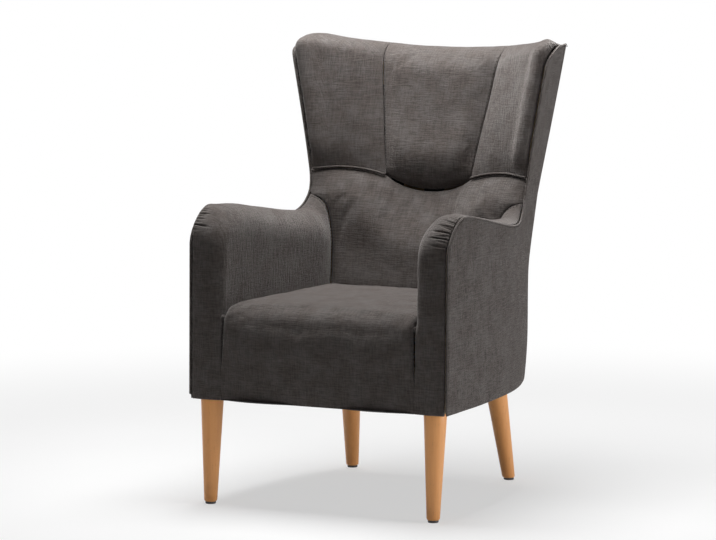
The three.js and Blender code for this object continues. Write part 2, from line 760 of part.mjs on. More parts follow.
function addDustCover() {
  const right = dustSideShares.map((share) => {
    const y = mix(hemInset, rearY(hemZ) - hemInset, share);
    return [sideX(y, hemZ) - hemInset, y];
  });
  const rear = dustRearShares.map((share) => {
    const x = share * sideRearX(hemZ);
    return [x, backY(x, hemZ) - hemInset];
  });
  const outline = [...right, ...rear, ...right.map(([x, y]) => [-x, y]).reverse()];
  const shape = new THREE.Shape(outline.map(([x, y]) => new THREE.Vector2(x, y)));
  const sheet = new THREE.ExtrudeGeometry(shape, { depth: dustCoverThickness, bevelEnabled: false });
  sheet.translate(0, 0, frameBottomZ - clearance - dustCoverThickness);
  let solid = toSolid(sheet);
  const room = legTopRadius + legRoom;
  const notch = [[0, hemZ - overrun], [room, hemZ - overrun], [room, hemZ + overrun], [0, hemZ + overrun]];
  for (const leg of Object.values(legs)) {
    const cut = turned(notch, leg);
    solid = solid.subtract(toSolid(cut)).subtract(toSolid(mirrored(cut)));
  }
  add('dust_cover', toGeometry(solid), darkCloth);
}

function roundSection(radius, sides) {
  const circle = new THREE.EllipseCurve(0, 0, radius, radius);
  return new THREE.Shape(circle.getPoints(sides).slice(0, sides));
}

// Wave springs from the front rail to the rear one
function addSprings() {
  const frontY = frontBlockY + railThickness / 2;
  const rearEndY = rearBlockY + rearBlockDepth / 2;
  const z = railTopZ + clearance + springWire;
  const section = roundSection(springWire, springSides);
  springShares.forEach((place, n) => {
    const points = Array.from({ length: springSteps + 1 }, (unused, k) => {
      const swing = springReach * Math.sin(Math.PI * k / springBendSteps);
      return new THREE.Vector3(place * springX + swing, mix(frontY, rearEndY, k / springSteps), z);
    });
    const path = new THREE.CatmullRomCurve3(points);
    const wire = new THREE.ExtrudeGeometry(section, { steps: springSteps, extrudePath: path });
    add(`seat_spring_${n + 1}`, wire, springSteel);
  });
}

// Welts: a piped cord along the welt line, on the outer face
function addWelts() {
  const curves = Object.entries(weltLine);
  const lists = curves.map(([name, curve]) => (
    stationsOf(curve, weltPathSteps, 0, name === 'tip' ? weltEndShare : 1)));
  const stations = joined(...lists);
  const depth = weltRadius - weltSunk;
  const start = stations.findIndex((place) => place.z > hemZ + weltRadius);
  const points = stations.slice(start - 1).map((place) => {
    const z = Math.max(place.z, hemZ + weltRadius);
    return new THREE.Vector3(sideX(place.y, z) - depth, place.y, z);
  });
  const path = new THREE.CatmullRomCurve3(points, false, 'centripetal');
  path.arcLengthDivisions = weltPathDivisions;
  const section = roundSection(weltRadius, weltSides);
  const tube = new THREE.ExtrudeGeometry(section, { steps: weltSteps, extrudePath: path });
  tube.deleteAttribute('normal');
  tube.deleteAttribute('uv');
  addPair('welt', mergeVertices(tube, weldDistance), velvet);
}

// Arms: a padded roll swept along the welt line, running down inside to the seat

const weltDepth = 2 * weltRadius - weltSunk + seamGap;
const foamDepth = boardOuter + seamGap;

const armTurnShare = 0.4;     // how far the welt has turned over where the roll starts to grow

// The roll's radius at a place on the welt line
function rollAt(place) {
  const low = mix(hemRoll, armRollFront, smooth(place.z, creaseFadeZ, seatZ));
  const growth = smooth(place.z, armFrontZ - armRollSpread, armFrontZ + armRollSpread);
  const front = low + growth * (armRollShoulder - armRollFront);
  return mix(front, armRollTop, smooth(place.outZ, armTurnShare, 1) ** 2);
}

// The arm's rear seam: from the welt over the arm and down to the seat
const armSeamStart = stationsOf(weltLine.dip, 1, armSeamShare, 1)[0];
const armSeamHeightShares = [1, 0.985, 0.955, 0.9, 0.8, 0.62, 0.42, 0.2, 0];
const armSeamAcrossShares = [0, 0.2, 0.42, 0.62, 0.74, 0.84, 0.9, 0.96, 1];
const armSeamBackShares = [1, 0.85, 0.8, 0.82, 0.84, 0.82, 0.66, 0.3, 0];

function armSeamPoints() {
  const top = armSeamStart;
  const topX = sideX(top.y, top.z) - weltDepth;
  const footZ = seatZ - tuck;
  return armSeamHeightShares.map((share, index) => new THREE.Vector3(
    mix(topX, armInnerRear, armSeamAcrossShares[index]),
    mix(seatBackY, top.y, armSeamBackShares[index]),
    mix(footZ, top.z, share)));
}

const armRollEndColumn = 6;    // column of the arm's grid where its roll ends
const armProfileShares = { top: [0.5, 1], roll: [1 / 3, 2 / 3, 1], inner: [0.4, 0.75, 1] };

// One row of the arm: in from the welt, round the roll and down to the seat
function armRow(place, fanStart) {
  const footZ = seatZ - tuck;
  const roll = rollAt(place);
  const outX = sideX(place.y, place.z);
  const thick = outX - armInner(place.y);
  const flat = thick - roll;
  const foamStart = foamDepth + weltDepth / 2;
  const upright = place.y > armDipY && place.outZ > 0;
  const [outY, outZ] = upright ? [0, 1] : [place.outY, place.outZ];
  const crown = mix(armCrown, armCrownRear, smooth(place.y, armCrestY, armDipY));
  const crest = (depth) => crown * 4 * (depth / thick) * (1 - depth / thick);
  const at = (depth, rise) => {
    const y = place.y + outY * rise;
    const inner = armInner(Math.max(y, 0));
    return new THREE.Vector3(inner + (thick - depth) * (outX - inner) / thick, y, place.z + outZ * rise);
  };
  const row = [at(weltDepth, 0), at(foamStart, crest(foamStart))];
  for (const share of armProfileShares.top) {
    const depth = mix(foamStart, flat, share);
    row.push(at(depth, crest(depth)));
  }
  for (const share of armProfileShares.roll) {
    const angle = share * Math.PI / 2;
    const depth = flat + roll * Math.sin(angle);
    row.push(at(depth, crest(depth) - roll * (1 - Math.cos(angle))));
  }
  const last = row[row.length - 1];
  const fan = place.z > fanStart || place.y > armFrontInset + clearance;
  const spread = clamp((place.y - armFrontInset) / (armCrestY - armFrontInset), 0, 1);
  const rise = clamp((place.z - fanStart) / (armCrestZ - fanStart), 0, 1);
  const turned = (Math.max(spread, rise) + spread) / 2;
  const endY = place.y >= armCrestY ? place.y : mix(roll, armCrestY, turned);
  const end = fan ? new THREE.Vector3(armInner(endY), endY, footZ) : plus(last, backward, padLeast);
  for (const share of armProfileShares.inner) {
    row.push(last.clone().lerp(end, share));
  }
  return row;
}

function armGrid() {
  const stations = joined(
    stationsOf(weltLine.line, armLineSteps),
    stationsOf(weltLine.corner, armCornerSteps),
    stationsOf(weltLine.top, armTopSteps),
    stationsOf(weltLine.dip, armDipSteps, 0, armSeamShare));
  const fanStart = seatZ - tuck;
  const rows = stations.map((place) => armRow(place, fanStart));
  const dipStart = stations.length - 1 - armDipSteps;
  const seamRow = armSeamRow(armSeamPoints(), rows[0].length);
  const shareAt = (r) => clamp((r - dipStart) / armDipSteps, 0, 1);
  const settled = rows.map((row, r) => row.map((point, c) => {
    const y = c && shareAt(r) ? mix(rows[dipStart][c].y, seamRow[c].y, shareAt(r)) : point.y;
    const narrower = armInner(Math.max(y, 0)) - armInner(Math.max(point.y, 0));
    return new THREE.Vector3(point.x + Math.min(c / armRollEndColumn, 1) * narrower, y, point.z);
  }));
  const miss = seamRow.map((point, c) => point.clone().sub(settled[rows.length - 1][c]));
  return settled.map((row, r) => row.map((point, c) => {
    const moved = plus(point, miss[c], shareAt(r) ** 2);
    moved.y = point.y;
    return moved;
  }));
}

// The rear seam resampled to a number of points, keeping its first one
function armSeamRow(seam, count) {
  const curve = new THREE.CatmullRomCurve3(seam, false, 'centripetal');
  const shares = [0, 0.06, 0.14, 0.22, 0.31, 0.41, 0.53, 0.67, 0.83, 1];
  return Array.from({ length: count }, (unused, index) => curve.getPointAt(
    count === shares.length ? shares[index] : index / (count - 1)));
}

function addArms(grid) {
  const normals = gridNormals(grid, plus(inward, upward, 1));
  for (const normal of normals[normals.length - 1]) {
    normal.y = 0;
    normal.normalize();
  }
  addPair('arm_cover', solidBetween(grid, sunk(grid, normals, coverThickness)), velvet);
  const lined = columnsFrom(sunk(grid, normals, coverThickness + clearance), 1);
  addArmFrontPad(lined);
  addArmPad(lined, columnsFrom(normals, 1));
}

// Foam on the front of the arm, from the hem up to where the arm's inside starts
const armPadStartRow = 4;     // row of the grid where the main foam takes over
const armFrontPadColumns = 5;

function addArmFrontPad(lined) {
  const front = lined.slice(0, armPadStartRow + 1).map((row) => row.slice(0, armFrontPadColumns));
  front[0].forEach((point) => point.setZ(frameBottomZ + clearance));
  const heights = lined[armPadStartRow].slice(0, armFrontPadColumns).map((point) => point.z);
  const seamZ = Math.min(...heights) - clearance;
  front[armPadStartRow].forEach((point) => point.setZ(seamZ));
  const rear = front.map((row) => row.map((point) => point.clone().setY(frontBlockY - clearance)));
  addPair('arm_front_pad', solidBetween(front, rear), foam);
}

const armFoamTurnColumns = [2, 5];
const armFoamFrontShares = [0.3, 0.55];
const armFoamRearShare = 0.85;

// Foam over the arm and down its inside
function addArmPad(lined, normals) {
  const stations = lined.length - 1;
  const top = lined.slice(armPadStartRow);
  const bottom = top.map((row, index) => row.map((point, c) => {
    const share = (index + armPadStartRow) / stations;
    const middle = mix(armFoamTop, armFoamSide, smooth(c, ...armFoamTurnColumns));
    const full = mix(armFoamFront, middle, smooth(share, ...armFoamFrontShares));
    const way = normals[index + armPadStartRow][c].clone();
    way.z *= Math.min(index, 1);
    const loss = armFoamRearLossShare * smooth(share, armFoamRearShare, 1);
    return plus(point, way.normalize(), -full * (1 - loss));
  }));
  addPair('arm_pad', solidBetween(top, bottom), foam);
}

// A patch between four edges; bottom and top run across, left and right run up
function patch(bottom, top, left, right) {
  const lengthShares = (list) => {
    const steps = list.map((point, index) => (index ? point.distanceTo(list[index - 1]) : 0));
    const total = steps.reduce((sum, step) => sum + step, 0);
    let run = 0;
    return steps.map((step) => {
      run += step;
      return run / total;
    });
  };
  const across = lengthShares(top);
  const up = lengthShares(right);
  return up.map((v, r) => across.map((u, c) => {
    const point = new THREE.Vector3();
    point.addScaledVector(bottom[c], 1 - v).addScaledVector(top[c], v);
    point.addScaledVector(left[r], 1 - u).addScaledVector(right[r], u);
    point.addScaledVector(bottom[0], -(1 - u) * (1 - v)).addScaledVector(bottom.at(-1), -u * (1 - v));
    point.addScaledVector(top[0], -(1 - u) * v).addScaledVector(top.at(-1), -u * v);
    return point;
  }));
}

const flipX = (list) => list.map((point) => new THREE.Vector3(-point.x, point.y, point.z));
const shifted = (list, x, y, z) => list.map((point) => point.clone().add(new THREE.Vector3(x, y, z)));

// Places along a smooth line through a few points
function lineThrough(points, count) {
  return new THREE.CatmullRomCurve3(points, false, 'centripetal').getSpacedPoints(count);
}

const waistHeadShares = [[0.3, 0.07], [0.6, 0.3], [0.85, 0.68]];
const waistWingShares = new THREE.Vector3(0.4, 0.35, 0.6);
const headSideShares = [new THREE.Vector3(0.3, 0.24, 0.3), new THREE.Vector3(0.68, 0.62, 0.66)];

// A point between two others, with a share of its own for each direction
const between = (from, to, shares) => from.clone().add(to.clone().sub(from).multiply(shares));

const headFoot = new THREE.Vector3(headFootX, headFootY, headFootZ);
const headTop = new THREE.Vector3(headTopX, headTopY, headTopZ);
const waistShoulder = new THREE.Vector3(waistShoulderX, waistShoulderY, waistShoulderZ);

// Half the waist seam: from the middle out to the foot of the head seam, and on to the welt
function waistHead() {
  const middle = new THREE.Vector3(0, waistMiddleY, waistMiddleZ);
  const foot = headFoot;
  const drop = headFootZ - waistMiddleZ;
  const places = waistHeadShares.map(([share, fall]) => new THREE.Vector3(
    share * headFootX, mix(middle.y, foot.y, share), waistMiddleZ + fall * drop));
  return lineThrough([middle, ...places, foot], headColumns / 2);
}

function waistWing() {
  const end = stationsOf(weltLine.edge, 1)[0];
  const points = [
    headFoot,
    between(headFoot, waistShoulder, waistWingShares),
    waistShoulder,
    new THREE.Vector3(sideX(end.y, end.z) - weltDepth, end.y, end.z)];
  const line = new THREE.CatmullRomCurve3(points, false, 'centripetal');
  return wingColumnShares.map((share) => line.getPointAt(share));
}

// The seam beside the head pad, up and over the crest to the back seam
function headSeam() {
  const points = [
    headFoot,
    ...headSideShares.map((shares) => between(headFoot, headTop, shares)),
    headTop,
    new THREE.Vector3((headTopX + backSeamX) / 2, crestY, crestZ),
    backSeamPoint(backSeamX)];
  const line = new THREE.CatmullRomCurve3(points, false, 'centripetal');
  return headSeamShares.map((share) => line.getPointAt(share));
}

// The seam between the inside and outside back, along the top
function backSeamPoint(x) {
  const end = cornerZ - backSeamZ;
  const z = backSeamZ + end * Math.abs(x / sideRearX(cornerZ)) ** backSeamPower;
  return new THREE.Vector3(x, backY(x, z) - sideCoverThickness - cornerGap, z);
}

function wingWelt() {
  const stations = [
    ...wingEdgeShares.map((share) => stationAt(weltLine.edge, share)),
    ...wingTipShares.map((share) => stationAt(weltLine.tip, share))];
  return stations.map((place) => ({
    ...place, point: new THREE.Vector3(sideX(place.y, place.z) - weltDepth, place.y, place.z) }));
}

const dome = (share) => Math.sqrt(Math.max(4 * share * (1 - share), 0));

// How deep a pad can be behind a place: up to the webbing and the side boards
function padDepth(point, normal, most, inFront) {
  const clear = (depth) => {
    const end = plus(point, normal, -depth);
    const beforeWeb = end.y < webY(end.z) - clearance;
    const insideBoard = end.x < sideX(end.y, end.z) - frameOuter - clearance;
    return beforeWeb && (insideBoard || inFront(end));
  };
  let depth = most;
  while (depth > padLeast && !clear(depth)) {
    depth -= padTrial;
  }
  return depth;
}

// A cover and the shaped pad behind it, thinner towards its edges
function addPad(name, grid, facing, options) {
  const { pair = false, straight = false, most, inFrontOfBoard = () => false } = options;
  const { trimStart = 0, trimEnd = 0, trimTop = 0, topShare = 0 } = options;
  const normals = gridNormals(grid, facing);
  const cover = solidBetween(grid, sunk(grid, normals, coverThickness));
  const near = coverThickness + clearance;
  const rows = grid.length - 1;
  const columns = grid[0].length - 1;
  const lastColumn = columns + 1 - trimEnd;
  const trimmed = (whole) => columnsFrom(whole.slice(0, rows + 1 - trimTop), trimStart, lastColumn);
  const face = sunk(grid, normals, near);
  face[rows].forEach((point, c) => point.lerp(face[rows - 1][c], topShare));
  const ways = straight ? normals.map((row) => row.map(() => forward)) : normals;
  const depth = face.map((row, r) => row.map((point, c) => {
    const middle = Math.min(dome(r / rows), dome(c / columns));
    const flip = point.x >= 0 ? 1 : -1;
    const left = new THREE.Vector3(flip * point.x, point.y, point.z);
    const way = new THREE.Vector3(flip * ways[r][c].x, ways[r][c].y, ways[r][c].z);
    return padDepth(left, way, mix(padEdge, most, middle), (end) => inFrontOfBoard(end, r));
  }));
  const top = trimmed(face);
  const bottom = trimmed(sunk(face, ways, (r, c) => depth[r][c]));
  const place = pair ? addPair : add;
  place(`${name}_cover`, cover, velvet);
  place(`${name}_pad`, solidBetween(top, bottom), foam);
}

const lumbarTrim = 2;         // columns that the lower back's foam stops short at each side
const lumbarTopShare = 0.1;   // and how far its top row is drawn down
const seamColumns = 10;

// Weights of a thin plate spline: it makes a smooth Y over X and Z through the given points
function thinPlate(points) {
  const kernel = (p, q) => {
    const apart = (p.x - q.x) ** 2 + (p.z - q.z) ** 2;
    return apart > 0 ? apart * Math.log(apart) : 0;
  };
  const rows = points.map((p) => [...points.map((q) => kernel(p, q)), 1, p.x, p.z, p.y]);
  rows.push([...points.map(() => 1), 0, 0, 0, 0]);
  rows.push([...points.map((q) => q.x), 0, 0, 0, 0]);
  rows.push([...points.map((q) => q.z), 0, 0, 0, 0]);
  const weights = solved(rows);
  const [level, slopeX, slopeZ] = weights.slice(points.length);
  const bend = (p) => points.reduce((sum, q, k) => sum + weights[k] * kernel(p, q), 0);
  return (p) => level + slopeX * p.x + slopeZ * p.z + bend(p);
}

// Solves linear equations, each row holding its factors and its result
function solved(rows) {
  const size = rows.length;
  for (let k = 0; k < size; k += 1) {
    const rest = rows.slice(k).map((row) => Math.abs(row[k]));
    const best = k + rest.indexOf(Math.max(...rest));
    [rows[k], rows[best]] = [rows[best], rows[k]];
    for (let r = 0; r < size; r += 1) {
      const factor = r === k ? 0 : rows[r][k] / rows[k][k];
      rows[r] = factor ? rows[r].map((value, c) => value - factor * rows[k][c]) : rows[r];
    }
  }
  return rows.map((row, k) => row[size] / row[k]);
}

// The lower back: a smooth surface through its edges, fullest in the middle
function lowerBackGrid(waist) {
  const half = seamGap / 2;
  const welt = stationsOf(weltLine.dip, waistSteps, armSeamShare, 1)
    .map((place) => new THREE.Vector3(sideX(place.y, place.z) - weltDepth, place.y, place.z));
  const armSeam = shifted(armSeamRow(armSeamPoints(), seamColumns), 0, foldGap, 0).reverse();
  const side = [...armSeam, ...shifted(welt.slice(1), 0, 0, -half)];
  const top = shifted(waist, 0, 0, -half);
  side[side.length - 1] = top.at(-1).clone();
  const foot = top.map((point, index) => {
    const share = 2 * index / (top.length - 1) - 1;
    return new THREE.Vector3(share * side[0].x, side[0].y, side[0].z);
  });
  const surface = thinPlate([...foot, ...side.slice(1), ...flipX(side.slice(1)), ...top.slice(1, -1)]);
  const grid = patch(foot, top, flipX(side), side);
  const rows = grid.length - 1;
  const columns = grid[0].length - 1;
  return grid.map((row, r) => row.map((point, c) => {
    const [up, across] = [r / rows, 2 * c / columns - 1];
    const straight = foot[c].clone().lerp(top[c], up);
    const place = straight.lerp(point, Math.abs(across));
    const inside = up > 0 && up < 1 && Math.abs(across) < 1;
    const y = inside ? surface(place) - lumbarBulge * 4 * up * (1 - up) * (1 - across * across) : point.y;
    return new THREE.Vector3(place.x, y, place.z);
  }));
}

const headSwellShares = [0.12, 0.8];
const headSwellLossShare = 0.6;

// The head: the middle of the upper back, fullest above its rounded foot
function headGrid(head, seam) {
  const half = seamGap / 2;
  const side = shifted(seam, -half, 0, 0);
  const foot = shifted([...flipX(head).reverse(), ...head.slice(1)], 0, 0, half);
  side[0] = foot.at(-1).clone();
  foot[foot.length - 1] = side[0];
  const top = foot.map((unused, index) => backSeamPoint((2 * index / headColumns - 1) * (backSeamX - half)));
  side[side.length - 1] = top[headColumns].clone();
  const grid = patch(foot, top, flipX(side), side);
  const rows = grid.length - 1;
  const [start, end] = headSwellShares;
  return grid.map((row, r) => row.map((point, c) => {
    const up = r / rows;
    const loss = headSwellLossShare * smooth(up, start, end);
    const swell = Math.sqrt(Math.min(up / start, 1)) * (1 - loss) * (1 - smooth(up, end, 1));
    return plus(point, forward, headBulge * swell * dome(c / headColumns));
  }));
}

const wingEndShare = 0.1;     // share of the wing's length over which its roll fades in and out
const wingTurnShare = 0.5;    // how far the welt has turned over where the tip's roll is full
const wingTrim = 2;           // columns that the wing's foam stops short beside the welt
const upperTrim = 1;          // rows that the upper pads stop short at the top

// A wing: from the head seam out over the rolled edge to the welt
function wingGrid(wing, seam, outer) {
  const half = seamGap / 2;
  const welt = outer.map((place) => place.point);
  const inner = shifted(seam, half, 0, 0);
  const foot = shifted(wing, 0, 0, half);
  foot[0] = inner[0];
  foot[foot.length - 1] = welt[0];
  const last = welt.at(-1);
  const top = wingColumnShares.map((share) => backSeamPoint(mix(backSeamX + half, last.x, share)));
  top[0] = inner.at(-1);
  top[top.length - 1] = last;
  const grid = patch(foot, top, inner, welt);
  const rows = grid.length - 1;
  return grid.map((row, r) => row.map((point, c) => {
    const up = r / rows;
    const ends = Math.min(up / wingEndShare, (1 - up) / wingEndShare, 1);
    const fade = smooth(outer[r].y, shoulderY + tipRollStart, shoulderY + tipRollEnd);
    const whole = mix(wingRoll, tipRoll, smooth(outer[r].outZ, 0, wingTurnShare));
    const roll = whole * (1 - tipRollLossShare * fade);
    const raised = roll * wingRollShares[c] * ends;
    const moved = plus(point, new THREE.Vector3(0, outer[r].outY, outer[r].outZ), raised);
    return plus(moved, forward, wingBulge * dome(wingColumnShares[c]) * dome(up));
  }));
}

function addBack() {
  const head = waistHead();
  const wing = waistWing();
  const seam = headSeam();
  const halfWaist = [...head, ...wing.slice(1)];
  const waist = [...flipX(halfWaist).reverse(), ...halfWaist.slice(1)];
  addPad('lumbar', lowerBackGrid(waist), forward, {
    straight: true, most: padMost, trimStart: lumbarTrim, trimEnd: lumbarTrim, topShare: lumbarTopShare });
  addPad('head', headGrid(head, seam), forward, { most: wingPad, trimTop: upperTrim });

  const outer = wingWelt();
  const inFrontOfBoard = (point, r) => {
    const back = (point.y - outer[r].y) * outer[r].outY + (point.z - outer[r].z) * outer[r].outZ;
    return back > foldGap - plyFrontInset;
  };
  addPad('wing', wingGrid(wing, seam, outer), plus(forward, inward), {
    pair: true, most: wingPad, trimEnd: wingTrim, trimTop: upperTrim, inFrontOfBoard });
}

const outsideHeightShares = [0, 0.12, 0.24, 0.36, 0.48, 0.58, 0.68, 0.78, 0.9, 1];
const outsideAcrossShares = [-1, -0.75, -0.5, -0.25, 0, 0.25, 0.5, 0.75, 1];

// Outside back: one panel from the hem to the top seam
function addOutsideBack() {
  const gridAt = (inset) => outsideHeightShares.map((share) => outsideAcrossShares.map((across) => {
    const edgeZ = mix(hemZ, cornerZ, share);
    const edgeX = sideRearX(edgeZ) - clearance;
    const top = backSeamPoint(across * edgeX).z - foldGap;
    const z = mix(hemZ, top, share);
    const x = across * (sideRearX(z) - clearance);
    return new THREE.Vector3(x, backY(x, z) - inset, z);
  }));
  add('outside_back', solidBetween(gridAt(0), gridAt(sideCoverThickness)), velvet);
}

// Seat: one cover and one block of foam, from the back over the front edge to the hem
const seatDepthShares = [0.84, 0.66, 0.48, 0.3, 0.16];
const seatFrontShares = [[0.9, 0.68], [0.6, 0.34], [0, 0]];
const seatCrownShares = [0, 0, 0.25, 0.75, 1, 1, 1, 0.85, 0.55, 0.35, 0.25, 0.2, 0.15, 0.08, 0];
const seatAcrossShares = [-1, -1, -1, -1, -0.72, -0.48, -0.24, 0, 0.24, 0.48, 0.72, 1, 1, 1, 1];
const seatRollTurns = [3, 2, 1, 0, 0, 0, 0, 0, 0, 0, 0, 0, 1, 2, 3];
const seatRearSinkShares = [0.25, 0.6];
const seatRearWrapShares = [0, 0.15, 0.5, 0.8];
const rollMidShare = 0.29;    // of a rounded edge's radius, at the middle of its turn
const rollDeepShare = 1.2;    // how far past its turn a rounded edge runs

// The seat's outline from the side, in (y, z), with the way out at each place
function seatProfile() {
  const rearEnd = seatBackY - seamGap - clearance;
  const frontTop = seatZ - seatEdgeRadius;
  const edge = (angle) => [
    seatEdgeRadius * (1 - Math.sin(angle)) - seatFrontBulge / 2,
    frontTop + seatEdgeRadius * Math.cos(angle)];
  const profile = [
    [rearEnd, seatZ - tuck], [rearEnd, seatZ - seatSideRoll], [rearEnd - seatSideRoll, seatZ],
    ...seatDepthShares.map((share) => [share * rearEnd, seatZ]),
    edge(0), edge(Math.PI / 6), edge(Math.PI / 3), edge(Math.PI / 2),
    ...seatFrontShares.map(([out, up]) => [-seatFrontBulge * out, mix(hemZ, frontTop, up)])];
  return profile.map(([y, z], index) => {
    const [y0, z0] = profile[Math.max(index - 1, 0)];
    const [y1, z1] = profile[Math.min(index + 1, profile.length - 1)];
    const rear = index < seatRearSinkShares.length;
    const out = rear ? new THREE.Vector2(0, 1) : new THREE.Vector2(z1 - z0, y0 - y1).normalize();
    return { y, z, out, rear };
  });
}

// One point of the seat's grid, in a row of its profile and a column across
function seatPoint(place, r, c) {
  const share = seatAcrossShares[c];
  const turn = seatRollTurns[c];
  const frontTop = seatZ - seatEdgeRadius;
  const low = place.z < frontTop - clearance && place.y < seatEdgeRadius;
  const roll = low ? mix(hemRoll, seatSideRoll, smooth(place.z, creaseFadeZ, frontTop)) : seatSideRoll;
  const inset = [roll, rollMidShare * roll, 0, 0][turn];
  const least = rollDeepShare * roll;
  const sunk = mix(roll, tuck, smooth(place.y, armRollFront, 2 * seatEdgeRadius));
  const deep = low ? least : Math.max(sunk, least);
  const drop = [0, rollMidShare * roll, roll, deep][turn] * (seatRearSinkShares[r] ?? 1);
  const rise = seatCrown * seatCrownShares[r] * (1 - seatCrownLossShare * share * share) - drop;
  const wrap = place.rear ? roll * seatRearWrapShares[turn] : 0;
  const y = place.y + place.out.x * rise - wrap;
  const side = armInner(Math.max(y, 0)) - seamGap;
  const edge = turn || Math.abs(share) === 1;
  const x = edge ? Math.sign(share) * (side - inset) : share * (side - roll);
  return new THREE.Vector3(x, y, place.z + place.out.y * rise);
}

function addSeat() {
  const grid = seatProfile().map((place, r) => seatAcrossShares.map((unused, c) => seatPoint(place, r, c)));
  const normals = gridNormals(grid, upward);
  add('seat_cover', solidBetween(grid, sunk(grid, normals, coverThickness)), velvet);
  const lined = sunk(grid, normals, coverThickness + clearance);
  addSeatPad(columnsFrom(lined.slice(1), 1, -1));
}

// The seat foam stands on the deck and laps down over the front rail
const seatPadLevelRow = 6;    // rows of the grid up to here stand straight over their base
const seatPadTurnRow = 10;    // and this one comes down on the rail's front upper edge
const seatPadHeel = 11;       // the rear rows of the base are spread by this length

function addSeatPad(top) {
  const rows = top.length - 1;
  const railFace = frontBlockY - clearance;
  const footZ = frameBottomZ + clearance;
  const base = top.map((row, r) => row.map((point) => {
    const level = new THREE.Vector3(point.x, top[0][0].y - r * seatPadHeel, deckZ);
    if (r > 1) {
      level.y = mix(top[Math.min(r, seatPadLevelRow)][0].y, railFace,
        clamp((r - seatPadLevelRow) / (seatPadTurnRow - seatPadLevelRow), 0, 1));
    }
    level.z = mix(deckZ, footZ, clamp((r - seatPadTurnRow) / (rows - seatPadTurnRow), 0, 1));
    return level;
  }));
  top[rows] = top[rows].map((point) => new THREE.Vector3(point.x, point.y, footZ));
  add('seat_pad', solidBetween(top, base), foam);
}

const arm = armGrid();
addArms(arm);
addBack();
addSeat();
addSideCover();
addOutsideBack();
addDustCover();
addWelts();
addArmBoard();
addWingBoard();
addArmRail();
addSeatSideRail();
addSeatEndRails();
addBackPost();
addBackRails();
addBackWebs();
addSprings();
addCornerBlocks();
addLegs();

// Rest point: the middle of the chair's own width and depth, on the floor
const extent = new THREE.Box3().setFromObject(chair);
chair.position.y = -(extent.min.y + extent.max.y) / 2;

export default chair;
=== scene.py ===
import math

import bmesh
import bpy
import numpy as np
from mathutils import Matrix, Vector, noise


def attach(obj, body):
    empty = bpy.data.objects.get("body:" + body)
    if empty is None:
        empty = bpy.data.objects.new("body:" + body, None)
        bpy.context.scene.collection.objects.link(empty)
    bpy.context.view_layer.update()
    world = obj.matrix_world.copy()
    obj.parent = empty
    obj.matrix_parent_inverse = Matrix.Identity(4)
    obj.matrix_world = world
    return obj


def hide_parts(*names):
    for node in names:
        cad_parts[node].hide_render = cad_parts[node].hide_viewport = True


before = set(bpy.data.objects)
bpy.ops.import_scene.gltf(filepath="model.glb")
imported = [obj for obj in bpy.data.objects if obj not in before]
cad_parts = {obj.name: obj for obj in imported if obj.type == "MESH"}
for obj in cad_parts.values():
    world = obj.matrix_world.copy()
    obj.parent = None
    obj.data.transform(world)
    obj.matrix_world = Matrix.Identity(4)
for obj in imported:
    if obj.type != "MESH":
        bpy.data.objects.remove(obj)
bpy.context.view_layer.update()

# A fireside wing armchair with a tight seat and back: covers, piping, stitching, legs, light and camera.
# The shapes are worked out in millimetres as in the frame's source, with Y from the front edge of the arms.
MILLIMETRE = 0.001
MIDDLE_Y = 371.5623

# Body
HEM_Z = 240
BODY_DEPTH = 600
HALF_WIDTH = 318
SIDE_DRAW_IN = 67
FOOT_DRAW_IN = 8
FOOT_DRAW_Z = 365
LEAN_START_Z = 510
LEAN_END_Z = 1010
LEAN_BEND = 0.06
LEAN_CURVE = 0.35
BACK_LEAN = 143
TUCK_IN = 20
TUCK_Z = 400
FLARE = 58
FLARE_Z = 665
CURL = 8
CORNER_Z = 1012
ARM_FRONT_Z = 586
ARM_RAKE = 5
CREST_Y, CREST_Z = 95, 668
DIP_Y, DIP_Z = 436, 617
WAIST_Y, WAIST_Z = 531, 718
SHOULDER_Y, SHOULDER_Z = 534, 972
ARM_SEAM_SHARE = 0.62
WELT_RADIUS = 2.4
WELT_DEPTH = 5.1
SIDE_THICKNESS = 4
CORNER_GAP = 0.1
SEAM_GAP = 0.25
FOLD_GAP = 0.5

# Inside
ARM_INNER_FRONT = 239
ARM_INNER_REAR = 203
SEAT_BACK_Y = 484
SEAT_Z = 446
SEAT_TUCK = 24
FOOT_Z = SEAT_Z - SEAT_TUCK
HEAD_FOOT = np.array([109.0, 590.0, 705.0])
HEAD_TOP = np.array([148.0, 662.0, 979.0])
WAIST_MIDDLE = np.array([0.0, 595.0, 672.0])
WAIST_SHOULDER = np.array([205.0, 563.0, 722.0])
CREST_OF_BACK = (700, 1006)
BACK_SEAM_X, BACK_SEAM_Z = 155, 998
SPLIT_Z = 322  # the seat's front and the arms' fronts part above this height

# Legs and lining
LEGS = {"front": ((276, 31), (276, 20)), "rear": ((186, 557), (203, 604))}  # X and Y of each top and foot
LEG_TOP_Z = 242.7
LEG_ROOM = 28.5
LINING_Z = 240.75
LINING_INSET = 24

# Cloth
MESH_STEP = 5.0
EDGE_ROWS = (0.5, 1.2, 2.2, 3.6)


def mix(first, second, share):
    """From the first to the second by a share"""
    return first + (second - first) * share


def smooth(value, start, end):
    """0 before the start and 1 after the end, with a soft rise between them"""
    share = np.clip((value - start) / (end - start), 0, 1)
    return share * share * (3 - 2 * share)


def lean_at(z):
    """How far the back leans over at a height"""
    rise = (z - LEAN_START_Z) / (LEAN_END_Z - LEAN_START_Z)
    soft = (rise + np.hypot(rise, LEAN_BEND)) / 2
    return BACK_LEAN * soft * (1 + LEAN_CURVE * (1 - soft))


def rear_y(z):
    """Y of the chair's rear edge, which leans back above the arms and tucks in at the hem"""
    below = np.maximum(TUCK_Z - z, 0) / (TUCK_Z - HEM_Z)
    return BODY_DEPTH + lean_at(z) - TUCK_IN * below * below


